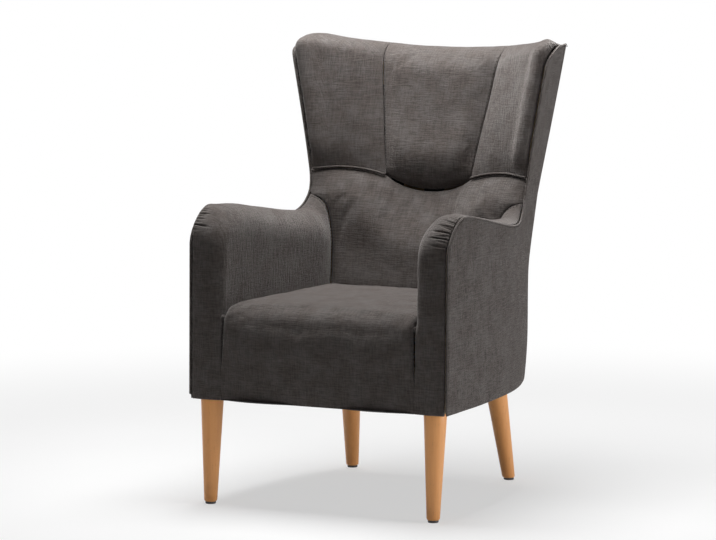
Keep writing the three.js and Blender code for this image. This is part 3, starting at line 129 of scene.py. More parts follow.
def side_x(y, z):
    """X of the chair's outside: drawn in towards the rear and the hem, flared along the wing"""
    rear = BODY_DEPTH + lean_at(z)
    behind = (y - WAIST_Y) / (rear - WAIST_Y)
    plain = np.where(behind > 0, WAIST_Y + behind * (BODY_DEPTH - WAIST_Y), y)
    flare = FLARE * (np.maximum(z - FLARE_Z, 0) / (LEAN_END_Z - FLARE_Z)) ** 1.15
    curl = CURL * smooth(z, 975, 1015) * (1 - smooth(behind, 0, 0.6))
    below = np.maximum(FOOT_DRAW_Z - z, 0) / (FOOT_DRAW_Z - HEM_Z)
    draw = (SIDE_DRAW_IN + FOOT_DRAW_IN * below * below) * np.abs(plain / BODY_DEPTH) ** 3.3
    return HALF_WIDTH - draw + flare * (1 - 0.42 * np.maximum(behind, 0)) + curl


def side_rear_x(z):
    return side_x(rear_y(z), z)


def back_y(x, z):
    """Y of the back panel, which is fullest in the middle"""
    crown = mix(30, 12, np.clip((z - HEM_Z) / (LEAN_END_Z - HEM_Z), 0, 1))
    return rear_y(z) + crown * (1 - (x / side_rear_x(z)) ** 2)


def arm_inner(y):
    """X of an arm's inside"""
    return mix(ARM_INNER_FRONT, ARM_INNER_REAR, y / SEAT_BACK_Y)


# Lines

def run_along(points):
    """How far along a line each of its points is"""
    return np.concatenate([[0], np.cumsum(np.linalg.norm(np.diff(points, axis=0), axis=1))])


def along(points, shares):
    """Places at shares of a line's length"""
    run = run_along(points)
    wanted = np.asarray(shares) * run[-1]
    return np.stack([np.interp(wanted, run, points[:, k]) for k in range(points.shape[1])], axis=1)


def bend(start, handle, other_handle, end):
    """A smooth bend between two ends, each with a handle to leave along"""
    share = np.linspace(0, 1, 1500)[:, None]
    start, handle, other_handle, end = (np.array(p, float) for p in (start, handle, other_handle, end))
    rest = 1 - share
    return (rest ** 3 * start + 3 * rest ** 2 * share * handle
            + 3 * rest * share ** 2 * other_handle + share ** 3 * end)


def welt_curves():
    """The welt line of a side, piece by piece, in Y and Z"""
    rise = CREST_Z - ARM_FRONT_Z
    run = CREST_Y - ARM_RAKE
    top = DIP_Y - CREST_Y
    dip = WAIST_Y - DIP_Y
    edge = SHOULDER_Z - WAIST_Z
    tip_y = rear_y(CORNER_Z)
    tip = tip_y - SHOULDER_Y
    front = (ARM_RAKE, ARM_FRONT_Z)
    crest = (CREST_Y, CREST_Z)
    return {
        "line": np.linspace((0.0, HEM_Z), front, 50),
        "corner": bend(front, (ARM_RAKE, ARM_FRONT_Z + 0.46 * rise), (CREST_Y - 0.4 * run, CREST_Z), crest),
        "top": bend(crest, (CREST_Y + 0.18 * top, CREST_Z), (DIP_Y - 0.26 * top, DIP_Z), (DIP_Y, DIP_Z)),
        "dip": bend((DIP_Y, DIP_Z), (DIP_Y + 0.58 * dip, DIP_Z),
                    (WAIST_Y - 0.02 * dip, mix(DIP_Z, WAIST_Z, 0.3)), (WAIST_Y, WAIST_Z)),
        "edge": bend((WAIST_Y, WAIST_Z), (WAIST_Y + 0.02 * dip, WAIST_Z + 0.3 * edge),
                     (SHOULDER_Y - 1, SHOULDER_Z - 0.25 * edge), (SHOULDER_Y, SHOULDER_Z)),
        "tip": bend((SHOULDER_Y, SHOULDER_Z), (SHOULDER_Y + 0.01 * tip, SHOULDER_Z + 36),
                    (SHOULDER_Y + 0.16 * tip, CORNER_Z), (tip_y, CORNER_Z)),
    }


WELT_CURVES = welt_curves()


def welt_places(name, shares):
    """Y, Z and the way out of the panel at shares of one curve of the welt line"""
    shares = np.asarray(shares, float)
    curve = WELT_CURVES[name]
    at = along(curve, shares)
    way = along(curve, np.minimum(shares + 0.002, 1)) - along(curve, np.maximum(shares - 0.002, 0))
    way /= np.linalg.norm(way, axis=1, keepdims=True)
    return np.column_stack([at, -way[:, 1], way[:, 0]])


def welt_run(steps, last_share):
    """Places along several curves of the welt line, by the steps of each; the last one stops at a share"""
    places = []
    for name, count in steps.items():
        end = last_share if name == list(steps)[-1] else 1
        found = welt_places(name, np.linspace(0, end, count + 1))
        places.extend(found[1:] if places else found)
    return np.array(places)


def spline(grid, steps):
    """More rows in a grid, on smooth lines through the ones it has"""
    count = len(grid)
    if np.isscalar(steps):
        steps = [steps] * (count - 1)
    ends = np.concatenate([[2 * grid[0] - grid[1]], grid, [2 * grid[-1] - grid[-2]]])
    gaps = np.maximum(np.linalg.norm(np.diff(ends, axis=0), axis=-1, keepdims=True), 1e-6) ** 0.5
    rows = []
    for k in range(count - 1):
        before, start, end, after = ends[k:k + 4]
        gap_before, gap, gap_after = gaps[k:k + 3]
        middle = (end - start) / gap
        leave = gap * ((start - before) / gap_before - (end - before) / (gap_before + gap) + middle)
        arrive = gap * (middle - (after - start) / (gap + gap_after) + (after - end) / gap_after)
        for share in np.arange(steps[k]) / steps[k]:
            cube, square = share ** 3, share ** 2
            rows.append((2 * cube - 3 * square + 1) * start + (cube - 2 * square + share) * leave
                        + (3 * square - 2 * cube) * end + (cube - square) * arrive)
    rows.append(grid[-1])
    return np.array(rows)


def line_through(points, shares):
    """Places at shares of the smooth line through some points"""
    dense = spline(np.array(points, float)[:, None, :], 60)[:, 0]
    return along(dense, shares)


def turned_over(grid):
    """A grid with its rows as columns"""
    return np.swapaxes(grid, 0, 1)


def finer_rows(grid, step=MESH_STEP):
    """A grid with its rows about a step apart"""
    lengths = np.linalg.norm(np.diff(grid, axis=0), axis=-1).mean(axis=1)
    return spline(grid, [max(1, round(length / step)) for length in lengths])


def edge_rows(grid):
    """A grid with extra rows close to its first and last one"""
    def near(row, other):
        length = np.linalg.norm(other - row, axis=-1).mean()
        return [mix(row, other, distance / length) for distance in EDGE_ROWS if distance < 0.85 * length]
    start = near(grid[0], grid[1])
    end = near(grid[-1], grid[-2])
    return np.array([grid[0], *start, *grid[1:-1], *reversed(end), grid[-1]])


def fine(grid):
    """A grid with rows and columns about a step apart, and closer along its edges"""
    grid = turned_over(finer_rows(turned_over(finer_rows(grid))))
    return turned_over(edge_rows(turned_over(edge_rows(grid))))


def normals_of(grid, facing):
    """The way out of a grid at each of its points, on the side that its middle faces"""
    across = np.gradient(grid, axis=1)
    up = np.gradient(grid, axis=0)
    normals = np.cross(across, up)
    normals /= np.maximum(np.linalg.norm(normals, axis=-1, keepdims=True), 1e-9)
    middle = normals[len(grid) // 2, grid.shape[1] // 2]
    return normals * (1 if np.dot(middle, facing) > 0 else -1)


def distances(grid, axis):
    """How far each point is from the first and from the last row, or column"""
    steps = np.linalg.norm(np.diff(grid, axis=axis), axis=-1)
    zero = np.zeros_like(np.take(steps, [0], axis=axis))
    run = np.concatenate([zero, np.cumsum(steps, axis=axis)], axis=axis)
    whole = np.take(run, [-1], axis=axis)
    return run, whole - run


def rolled_edge(distance, width, depth):
    """How deep a cover's edge turns in towards its seam"""
    share = 1 - np.clip(distance / width, 0, 1)
    return depth * (1 - np.sqrt(np.maximum(1 - share ** 2, 0)))


def edge_sink(from_edges, edges):
    """How deep a cover's edges turn in; each edge has a width and a depth, or None if it stays flat"""
    return sum(rolled_edge(distance, *edge) for distance, edge in zip(from_edges, edges) if edge)


def unevenness(points, size, seed):
    """Slow noise over a grid, in lumps of about a size"""
    flat = points.reshape(-1, 3) / size + seed
    values = np.array([noise.noise(Vector(point)) for point in flat])
    return values.reshape(points.shape[:-1])


# Meshes

def add_object(name, data):
    made = bpy.data.objects.new(name, data)
    bpy.context.scene.collection.objects.link(made)
    return made


def add_mesh(name, points, faces, finish, side=1, sharp=55):
    """A closed piece from points in millimetres and its faces; side is -1 for its mirror image"""
    placed = (points * np.array([side, 1, 1]) - np.array([0, MIDDLE_Y, 0])) * MILLIMETRE
    mesh = bpy.data.meshes.new(name)
    mesh.from_pydata(placed.tolist(), [], [tuple(face) for face in faces])
    shape = bmesh.new()
    shape.from_mesh(mesh)
    if shape.calc_volume(signed=True) < 0:
        bmesh.ops.reverse_faces(shape, faces=shape.faces)
    shape.to_mesh(mesh)
    shape.free()
    mesh.polygons.foreach_set("use_smooth", [True] * len(mesh.polygons))
    mesh.set_sharp_from_angle(angle=math.radians(sharp))
    mesh.materials.append(finish)
    lay_cloth(mesh)
    return add_object(name, mesh)


def lay_cloth(mesh):
    """Lays the weave square to the chair: each face takes the two directions that it faces least"""
    count = len(mesh.polygons)
    normals = np.empty(3 * count)
    mesh.polygons.foreach_get("normal", normals)
    totals = np.empty(count, int)
    mesh.polygons.foreach_get("loop_total", totals)
    facing = np.repeat(np.abs(normals.reshape(-1, 3)).argmax(axis=1), totals)
    corners = np.empty(len(mesh.loops), int)
    mesh.loops.foreach_get("vertex_index", corners)
    places = np.empty(3 * len(mesh.vertices))
    mesh.vertices.foreach_get("co", places)
    places = places.reshape(-1, 3)[corners]
    across = np.where(facing == 0, places[:, 1], places[:, 0])
    up = np.where(facing == 2, places[:, 1], places[:, 2])
    layer = mesh.uv_layers.new(name="cloth")
    layer.data.foreach_set("uv", np.stack([across, up], axis=-1).ravel())


def closed_sheet(name, outer, inner, finish, side=1):
    """A closed piece between two grids"""
    rows, columns = outer.shape[:2]
    index = np.arange(rows * columns).reshape(rows, columns)
    skip = rows * columns
    quads = np.stack([index[:-1, :-1], index[:-1, 1:], index[1:, 1:], index[1:, :-1]], axis=-1).reshape(-1, 4)
    faces = [quads, quads[:, ::-1] + skip]
    for line in (index[0], index[-1][::-1], index[::-1, 0], index[:, -1]):
        faces.append(np.stack([line[1:], line[:-1], line[:-1] + skip, line[1:] + skip], axis=-1))
    points = np.concatenate([outer.reshape(-1, 3), inner.reshape(-1, 3)])
    return add_mesh(name, points, np.concatenate(faces).tolist(), finish, side)


def padded_form(grid, facing, edges, depth, uneven, seed, shape=None):
    """Outer and inner grid of a padded piece; edges are width and depth of the turned-in edge at its first
    row, last row, first column and last column, and shape gives what the padding adds"""
    normals = normals_of(grid, facing)
    from_rows = distances(grid, 0)
    from_columns = distances(grid, 1)
    from_edges = (*from_rows, *from_columns)
    fade = smooth(np.minimum.reduce(from_edges), 0, 35)
    wave = uneven * fade * (unevenness(grid, 75, seed) + 0.35 * unevenness(grid, 28, seed + 7))
    out = wave - edge_sink(from_edges, edges)
    if shape is not None:
        out = out + shape(grid, from_rows, from_columns)
    outer = grid + normals * out[..., None]
    inner = grid - normals * depth
    return outer, inner, normals


# Materials

class Value:
    """A number or colour of a material, which works in sums"""

    def __init__(self, paint, socket):
        self.paint = paint
        self.socket = socket

    def __add__(self, other):
        return self.paint.math("ADD", self, other)

    def __radd__(self, other):
        return self.paint.math("ADD", other, self)

    def __sub__(self, other):
        return self.paint.math("SUBTRACT", self, other)

    def __rsub__(self, other):
        return self.paint.math("SUBTRACT", other, self)

    def __mul__(self, other):
        return self.paint.math("MULTIPLY", self, other)


class Paint:
    """The nodes of a procedural material, or of the world, under construction"""

    def __init__(self, owner, shader="Principled BSDF", **constants):
        self.owner = owner
        owner.use_nodes = True
        self.tree = owner.node_tree
        self.shader = self.tree.nodes[shader]
        for socket, value in constants.items():
            self.shader.inputs[socket.replace("_", " ")].default_value = value

    def node(self, kind, settings=None, inputs=None):
        made = self.tree.nodes.new(kind)
        for key, value in (settings or {}).items():
            setattr(made, key, value)
        for key, value in (inputs or {}).items():
            if isinstance(value, Value):
                self.tree.links.new(value.socket, made.inputs[key])
            else:
                made.inputs[key].default_value = value
        return made

    def math(self, operation, first, second):
        made = self.node("ShaderNodeMath", {"operation": operation}, {0: first, 1: second})
        return Value(self, made.outputs[0])

    def between(self, value, start, end):
        made = self.node("ShaderNodeMapRange", {"interpolation_type": "SMOOTHSTEP"},
                         {"Value": value, "From Min": start, "From Max": end})
        return Value(self, made.outputs["Result"])

    def blend(self, share, first, second):
        made = self.node("ShaderNodeMix", {"data_type": "RGBA"}, {"Factor": share, 6: first, 7: second})
        return Value(self, made.outputs[2])

    def scaled(self, colour, value):
        made = self.node("ShaderNodeVectorMath", {"operation": "SCALE"}, {0: colour, "Scale": value})
        return Value(self, made.outputs[0])

    def cloth(self):
        return Value(self, self.node("ShaderNodeUVMap", {"uv_map": "cloth"}).outputs[0])

    def place(self):
        return Value(self, self.node("ShaderNodeTexCoord").outputs["Object"])

    def stretched(self, vector, scale):
        made = self.node("ShaderNodeVectorMath", {"operation": "MULTIPLY"}, {0: vector, 1: scale})
        return Value(self, made.outputs[0])

    def noise(self, vector, scale, detail=2.0, roughness=0.5):
        made = self.node("ShaderNodeTexNoise", None,
                         {"Vector": vector, "Scale": scale, "Detail": detail, "Roughness": roughness})
        return Value(self, made.outputs[0])

    def streaks(self, vector, scales, detail=2.0, roughness=0.5):
        """Noise with a scale of its own in each direction"""
        return self.noise(self.stretched(vector, scales), 1.0, detail, roughness)

    def seen_directly(self):
        """1 for what the camera sees, also in a mirror or through glass, and 0 for the light on other things"""
        path = self.node("ShaderNodeLightPath")
        rays = [Value(self, path.outputs[f"Is {kind} Ray"]) for kind in ("Camera", "Glossy", "Transmission")]
        return self.math("MINIMUM", rays[0] + rays[1] + rays[2], 1.0)

    def bump(self, height, distance, strength):
        made = self.node("ShaderNodeBump", None, {"Height": height, "Distance": distance, "Strength": strength})
        self.join(Normal=Value(self, made.outputs[0]))

    def join(self, **sockets):
        for key, value in sockets.items():
            self.tree.links.new(value.socket, self.shader.inputs[key.replace("_", " ")])


def velvet(name, light=1.0, nap_and_painted_pile_shade=1.0):
    """Dark grey-brown velvet: crossed threads with slubs under a pile that has been brushed here and there"""
    paint = Paint(bpy.data.materials.new(name), Sheen_Weight=0.34, Sheen_Roughness=0.42,
                  Sheen_Tint=(0.92, 0.86, 0.83, 1), Specular_IOR_Level=0.10)
    cloth = paint.cloth()
    place = paint.place()
    weft = paint.between(paint.streaks(cloth, (34, 290, 1), 3.0, 0.7), 0.36, 0.64)
    warp = paint.between(paint.streaks(cloth, (260, 30, 1), 3.0, 0.7), 0.36, 0.64)
    grain = paint.streaks(cloth, (1300, 1300, 1), 1.0)
    brushed = paint.streaks(place, (24, 24, 26), 4.0, 0.62)
    slubs = paint.between(paint.streaks(cloth, (42, 360, 1), 1.0), 0.60, 0.74)
    threads = (weft - 0.5) * 0.26 + (warp - 0.5) * 0.20 + (grain - 0.5) * 0.20 + slubs * 0.14
    # The threads and brushed pile are the cloth's own mottle; a setting above 1 strengthens it with painted
    # pile shade, as on the outside panels.
    tone = 0.90 + (threads + (brushed - 0.5) * 0.36) * nap_and_painted_pile_shade
    colour = paint.blend(paint.between(brushed, 0.35, 0.65),
                         (0.086, 0.073, 0.067, 1), (0.097, 0.087, 0.082, 1))
    # A colour scale above 1 is a painted highlight, as on the piping.
    paint.join(Base_Color=paint.scaled(colour, tone * light), Roughness=0.98 - slubs * 0.10)
    paint.bump(weft * 0.5 + warp * 0.6 + grain * 0.2, 0.0011, 0.8)
    return paint.owner


def thread():
    """Dark twisted sewing thread"""
    paint = Paint(bpy.data.materials.new("thread"), Sheen_Weight=0.1, Specular_IOR_Level=0.2)
    twist = paint.streaks(paint.place(), (2200, 2200, 900))
    paint.join(Base_Color=paint.blend(twist, (0.010, 0.008, 0.007, 1), (0.030, 0.026, 0.024, 1)),
               Roughness=0.7 + twist * 0.2)
    paint.bump(twist, 0.0002, 0.5)
    return paint.owner


def leg_wood():
    """Warm tan oiled beech: fine grain along the leg, small flecks and slow colour changes"""
    paint = Paint(bpy.data.materials.new("leg_wood"), Specular_IOR_Level=0.45, Coat_Weight=0.12,
                  Coat_Roughness=0.3)
    place = paint.place()
    grain = paint.streaks(place, (260, 260, 9), 4.0, 0.6)
    flecks = paint.between(paint.streaks(place, (900, 900, 70)), 0.62, 0.72)
    bands = paint.streaks(place, (60, 60, 2.5))
    colour = paint.blend(grain * 0.6 + bands * 0.4, (0.70, 0.27, 0.075, 1), (0.93, 0.46, 0.16, 1))
    shade = 1.02 - flecks * 0.16
    paint.join(Base_Color=paint.scaled(colour, shade), Roughness=0.36 + grain * 0.2)
    paint.bump(grain * 0.5 + flecks * 0.4, 0.0003, 0.25)
    return paint.owner


def frame_wood():
    """Plain planed wood for the parts that the covers hide"""
    paint = Paint(bpy.data.materials.new("frame_wood"), Specular_IOR_Level=0.3)
    grain = paint.streaks(paint.place(), (120, 120, 12), 4.0)
    paint.join(Base_Color=paint.blend(grain, (0.42, 0.28, 0.15, 1), (0.66, 0.50, 0.31, 1)),
               Roughness=0.6 + grain * 0.2)
    paint.bump(grain, 0.0005, 0.4)
    return paint.owner


def speckled(name, dark, pale, scale, rough, **constants):
    """A plain material with fine speckle, for webbing, lining, nylon and steel"""
    paint = Paint(bpy.data.materials.new(name), **constants)
    speckle = paint.noise(paint.place(), scale, 3.0)
    cloud = paint.noise(paint.place(), scale / 20, 2.0)
    share = speckle * 0.6 + cloud * 0.4
    paint.join(Base_Color=paint.blend(share, dark, pale), Roughness=rough + (share - 0.5) * 0.25)
    paint.bump(speckle, 0.0004, 0.4)
    return paint.owner


VELVET = velvet("velvet")
# The outside panels take the same cloth with its mottle twice as strong: the threads are its own, the added
# contrast is painted pile shade from light raking over the pile.
OUTSIDE_VELVET_PAINTED_PILE_SHADE = velvet("outside_velvet_painted_pile_shade", nap_and_painted_pile_shade=2.0)
# The piping's cloth is the same velvet made 10 % lighter: a painted highlight along the round cord.
PIPING_VELVET_PAINTED_HIGHLIGHT = velvet("piping_velvet_painted_highlight", 1.1)
THREAD = thread()
LEG_WOOD = leg_wood()
FRAME_WOOD = frame_wood()
LINING = speckled("lining_cloth", (0.010, 0.010, 0.010, 1), (0.030, 0.029, 0.028, 1), 1400, 0.9,
                  Sheen_Weight=0.2)
WEBBING = speckled("webbing", (0.015, 0.015, 0.016, 1), (0.05, 0.05, 0.05, 1), 1100, 0.85)
SPRING_STEEL = speckled("spring_steel", (0.20, 0.20, 0.21, 1), (0.36, 0.36, 0.37, 1), 300, 0.38, Metallic=1.0)
BOLT_STEEL = speckled("bolt_steel", (0.42, 0.42, 0.43, 1), (0.60, 0.60, 0.61, 1), 300, 0.3, Metallic=1.0)
NYLON = speckled("glide_nylon", (0.020, 0.018, 0.016, 1), (0.040, 0.036, 0.033, 1), 500, 0.5)


# Upholstery

def arm_row(place):
    """One row of the arm: in from the welt, round the roll and down to the seat"""
    y, z, out_y, out_z = place
    front = 0.5 + 2 * smooth(z, SPLIT_Z, SPLIT_Z + 38) + 15.5 * smooth(z, 405, SEAT_Z)
    front += 8 * smooth(z, ARM_FRONT_Z - 30, ARM_FRONT_Z + 30)
    roll = mix(front, 47, smooth(out_z, 0.4, 1) ** 2)
    out_x = side_x(y, z)
    thick = out_x - arm_inner(y)
    flat = thick - roll
    foam_start = 1.5 * WELT_DEPTH
    crown = mix(5, 13, smooth(y, CREST_Y, DIP_Y))
    if y > DIP_Y and out_z > 0:
        out_y, out_z = 0, 1

    def crest(depth):
        return 4 * crown * (depth / thick) * (1 - depth / thick)

    def at(depth, rise):
        moved = y + out_y * rise
        inner = arm_inner(max(moved, 0))
        return [inner + (thick - depth) * (out_x - inner) / thick, moved, z + out_z * rise]

    row = [at(WELT_DEPTH, 0), at(foam_start, crest(foam_start))]
    for share in (0.5, 1):
        depth = mix(foam_start, flat, share)
        row.append(at(depth, crest(depth)))
    for share in (1 / 3, 2 / 3, 1):
        angle = share * math.pi / 2
        depth = flat + roll * math.sin(angle)
        row.append(at(depth, crest(depth) - roll * (1 - math.cos(angle))))
    last = np.array(row[-1])
    spread = np.clip((y - ARM_RAKE) / (CREST_Y - ARM_RAKE), 0, 1)
    rise = np.clip((z - FOOT_Z) / (CREST_Z - FOOT_Z), 0, 1)
    turned = (max(spread, rise) + spread) / 2
    end_y = y if y >= CREST_Y else mix(roll, CREST_Y, turned)
    end = last + np.array([0, 3 + 17 * smooth(z, SPLIT_Z, SPLIT_Z + 23), 0])
    if z > FOOT_Z or y > ARM_RAKE + 0.3:
        end = np.array([arm_inner(end_y), end_y, FOOT_Z])
    row.extend(mix(last, end, share) for share in (0.4, 0.75, 1))
    return np.array(row)


def arm_seam():
    """The arm's rear seam: from the welt over the arm and down to the seat"""
    y, z = welt_places("dip", [ARM_SEAM_SHARE])[0][:2]
    top_x = side_x(y, z) - WELT_DEPTH
    heights = [1, 0.985, 0.955, 0.9, 0.8, 0.62, 0.42, 0.2, 0]
    across = [0, 0.2, 0.42, 0.62, 0.74, 0.84, 0.9, 0.96, 1]
    back = [1, 0.85, 0.8, 0.82, 0.84, 0.82, 0.66, 0.3, 0]
    points = [(mix(top_x, ARM_INNER_REAR, a), mix(SEAT_BACK_Y, y, b), mix(FOOT_Z, z, h))
              for a, b, h in zip(across, back, heights)]
    return line_through(points, [0, 0.06, 0.14, 0.22, 0.31, 0.41, 0.53, 0.67, 0.83, 1])


ARM_ROWS = {"line": 24, "corner": 120, "top": 16, "dip": 12}


def arm_grid():
    """The arm's cover, row by row up its front and back along its top, settled on its rear seam"""
    places = welt_run(ARM_ROWS, ARM_SEAM_SHARE)
    rows = np.array([arm_row(place) for place in places])
    dip_start = len(places) - 1 - ARM_ROWS["dip"]
    seam = arm_seam()
    share = np.clip((np.arange(len(rows)) - dip_start) / ARM_ROWS["dip"], 0, 1)
    settled = rows.copy()
    for r in np.flatnonzero(share > 0):
        for c in range(rows.shape[1]):
            y = mix(rows[dip_start, c, 1], seam[c, 1], share[r]) if c else rows[r, c, 1]
            moved = arm_inner(max(y, 0)) - arm_inner(max(rows[r, c, 1], 0))
            settled[r, c] = rows[r, c] + np.array([min(c / 6, 1) * moved, y - rows[r, c, 1], 0])
    miss = seam - settled[-1]
    miss[:, 1] = 0
    return settled + miss[None] * (share ** 2)[:, None, None]


# Each gather of the arms' covers: how far up round the corner it starts, its length, depth and slope
GATHERS = {
    "left": [(14, 26, 1.2, 0.05), (23, 46, 3.0, 0.04), (32, 34, 1.8, 0.10), (40, 54, 3.8, 0.06),
             (49, 36, 2.4, -0.10), (56, 56, 3.8, 0.10), (65, 30, 2.2, 0.28), (73, 46, 3.4, 0.12),
             (80, 26, 1.8, 0.34), (87, 36, 3.0, 0.22), (94, 20, 1.5, 0.40), (101, 30, 2.4, 0.30),
             (109, 20, 1.4, 0.36)],
    "right": [(18, 18, 0.8, -0.10), (34, 22, 1.3, -0.12), (46, 46, 3.6, -0.13), (54, 22, 1.6, -0.10),
              (62, 30, 2.0, -0.12), (70, 20, 1.6, -0.08), (78, 36, 3.2, -0.12), (86, 24, 1.8, -0.06),
              (94, 28, 2.2, -0.04), (102, 16, 1.3, 0.0)]}
GATHER_WIDTH = 1.6
GATHER_START_Z = ARM_FRONT_Z - 14
WELT_OVERHANG = {"left": 1.0, "right": 5.5}


def gathered(name, run, inward):
    """The creases and the fullness between them, where the cover is gathered round the arm's top corner"""
    creased = np.zeros_like(inward)
    for start, length, depth, slope in GATHERS[name]:
        apart = run - start - slope * inward
        wide = GATHER_WIDTH * (1 + 0.4 * np.clip(inward / length, 0, 1))
        fall = smooth(inward, 0.5, 4) * (1 - smooth(inward, 0.45 * length, length))
        creased = np.maximum(creased, depth * fall * np.exp(-(apart / wide) ** 2))
    full = smooth(run, 4, 40) * (1 - smooth(run, 90, 125)) * (1 - smooth(inward, 18, 62))
    return full, creased


def round_the_corner(grid, from_first_row):
    """How far each row of an arm's cover is round the top corner"""
    run = from_first_row[:, :1]
    return run - run[np.argmax(grid[:, 0, 2] > GATHER_START_Z)]


def arm_gathers(name):
    def shape(grid, from_rows, from_columns):
        full, creased = gathered(name, round_the_corner(grid, from_rows[0]), from_columns[0])
        return 4.2 * full * smooth(from_columns[0], 0, 5) - creased
    return shape


def over_the_welt(name, grid, outer):
    """The arm's cover, swollen a little over its welt at the top corner"""
    run = round_the_corner(grid, distances(grid, 0)[0])
    inward = distances(grid, 1)[0]
    full = smooth(run, 4, 48) * (1 - smooth(run, 85, 120))
    return outer + (WELT_OVERHANG[name] * full * np.exp(-inward / 9))[..., None] * np.array([1, -0.3, 0.3])


def add_pair(make):
    """Makes a piece for the sitter's left and for the right"""
    for name, side in (("left", 1), ("right", -1)):
        make(name, side)


def fine_arm_grid():
    """The arm's cover with close rows round its corner, which never step back on each other"""
    grid = turned_over(edge_rows(finer_rows(turned_over(arm_grid()), 4)))
    corner = slice(ARM_ROWS["line"], len(grid) - ARM_ROWS["dip"])
    least = 0.03 * np.arange(len(grid[corner]))[:, None]
    grid[corner, :, 1] = np.maximum.accumulate(grid[corner, :, 1] - least, axis=0) + least
    return edge_rows(grid)


def add_arms():
    grid = fine_arm_grid()
    from_seam = distances(grid, 0)[1]

    def make(name, side):
        outer, inner, normals = padded_form(
            grid, (-1, 0, 1), ((3, 2), (4, 2), (5, 4), None), depth=9, uneven=1.3,
            seed=3.0 if side > 0 else 5.0, shape=arm_gathers(name))
        piece = closed_sheet(f"arm_upholstery_{name}", over_the_welt(name, grid, outer), inner, VELVET, side)
        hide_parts(f"arm_cover_{name}", f"arm_pad_{name}", f"arm_front_pad_{name}")
        add_seam_stitches(f"arm_stitches_{name}", outer, normals, from_seam, 6.0, side,
                          lambda line: (line[:, 2] > SEAT_Z + 8) & (run_along(line) > 8))
        dress(piece)
    add_pair(make)


STUFFING = {"vertex_group_mass": "sewn", "quality": 4, "mass": 0.25, "tension_stiffness": 12,
            "compression_stiffness": 12, "shear_stiffness": 4, "bending_stiffness": 0.3, "shrink_min": -0.012,
            "use_pressure": True, "uniform_pressure_force": 4}
STUFFING_FRAMES = 20


def stuffed(piece, grid, swell, margins):
    """Blows a padded piece up as cloth that is sewn down along its edges; swell is the most that it may
    move, and the margins are how far in from each edge it is held"""
    mesh = piece.data
    count = len(mesh.vertices)
    before = np.empty(3 * count)
    mesh.vertices.foreach_get("co", before)
    before = before.reshape(-1, 3)
    nearest = [smooth(distance, 0.2 * margin, margin)
               for distance, margin in zip((*distances(grid, 0), *distances(grid, 1)), margins)]
    held = np.concatenate([(1 - np.minimum.reduce(nearest)).ravel(), np.ones(count // 2)])
    sewn = piece.vertex_groups.new(name="sewn")
    for k in np.flatnonzero(held > 0.001):
        sewn.add([int(k)], float(held[k]), "REPLACE")
    cloth = piece.modifiers.new("cloth", "CLOTH")
    for key, value in STUFFING.items():
        setattr(cloth.settings, key, value)
    cloth.settings.effector_weights.gravity = 0
    cloth.collision_settings.use_collision = False
    for frame_number in range(1, STUFFING_FRAMES + 1):
        bpy.context.scene.frame_set(frame_number)
    shape = piece.evaluated_get(bpy.context.evaluated_depsgraph_get()).data
    after = np.empty(3 * count)
    shape.vertices.foreach_get("co", after)
    way = after.reshape(-1, 3) - before
    piece.modifiers.remove(cloth)
    bpy.context.scene.frame_set(1)
    piece.vertex_groups.remove(sewn)
    length = np.maximum(np.linalg.norm(way, axis=1, keepdims=True), 1e-9)
    room = swell * MILLIMETRE
    way *= room * np.tanh(length / room) / length * (1 - held[:, None])
    mesh.vertices.foreach_set("co", (before + way).ravel())
    mesh.update()


def dress(piece):
    """Declares what a piece rides on"""
    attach(piece, "root")


def add_stuffed_cover(name, grid, facing, edges, depth, uneven, seed, shape, nodes, swell, margins):
    """A cover of the seat or the back with its padding; gives its outer grid and the way out of it"""
    outer, inner, normals = padded_form(grid, facing, edges, depth, uneven, seed, shape)
    piece = closed_sheet(name, outer, inner, VELVET)
    stuffed(piece, grid, swell, margins)
    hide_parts(*nodes)
    dress(piece)
    return outer, normals


def patch(bottom, top, left, right):
    """A smooth grid between four edges; bottom and top run across, left and right run up"""
    u = (run_along(top) / run_along(top)[-1])[None, :, None]
    v = (run_along(right) / run_along(right)[-1])[:, None, None]
    corners = bottom[0] * (1 - u) * (1 - v) + bottom[-1] * u * (1 - v) + top[0] * (1 - u) * v + top[-1] * u * v
    return bottom[None] * (1 - v) + top[None] * v + left[:, None] * (1 - u) + right[:, None] * u - corners


def other_side(line):
    return line * np.array([-1, 1, 1])


def dome(share):
    """A half ellipse over the shares from 0 to 1"""
    return np.sqrt(np.maximum(4 * share * (1 - share), 0))


def back_seam_point(x):
    """Where the covers of the front meet the back panel along the top"""
    z = BACK_SEAM_Z + (CORNER_Z - BACK_SEAM_Z) * np.abs(x / side_rear_x(CORNER_Z)) ** 2.5
    return np.array([x, back_y(x, z) - SIDE_THICKNESS - CORNER_GAP, z])


def waist_head():
    """The waist seam under the middle panel, from the middle outwards"""
    def between(share, fall):
        point = mix(WAIST_MIDDLE, HEAD_FOOT, share)
        return (point[0], point[1], mix(WAIST_MIDDLE[2], HEAD_FOOT[2], fall))
    points = [WAIST_MIDDLE, between(0.3, 0.07), between(0.6, 0.3), between(0.85, 0.68), HEAD_FOOT]
    return line_through(points, np.linspace(0, 1, 5))


WING_COLUMNS = np.array([0, 0.22, 0.44, 0.64, 0.82, 0.93, 1])


def waist_wing():
    """The waist seam under a wing, out to the welt"""
    y, z = welt_places("edge", [0])[0][:2]
    knee = mix(HEAD_FOOT, WAIST_SHOULDER, np.array([0.4, 0.35, 0.6]))
    points = [HEAD_FOOT, knee, WAIST_SHOULDER, (side_x(y, z) - WELT_DEPTH, y, z)]
    return line_through(points, WING_COLUMNS)


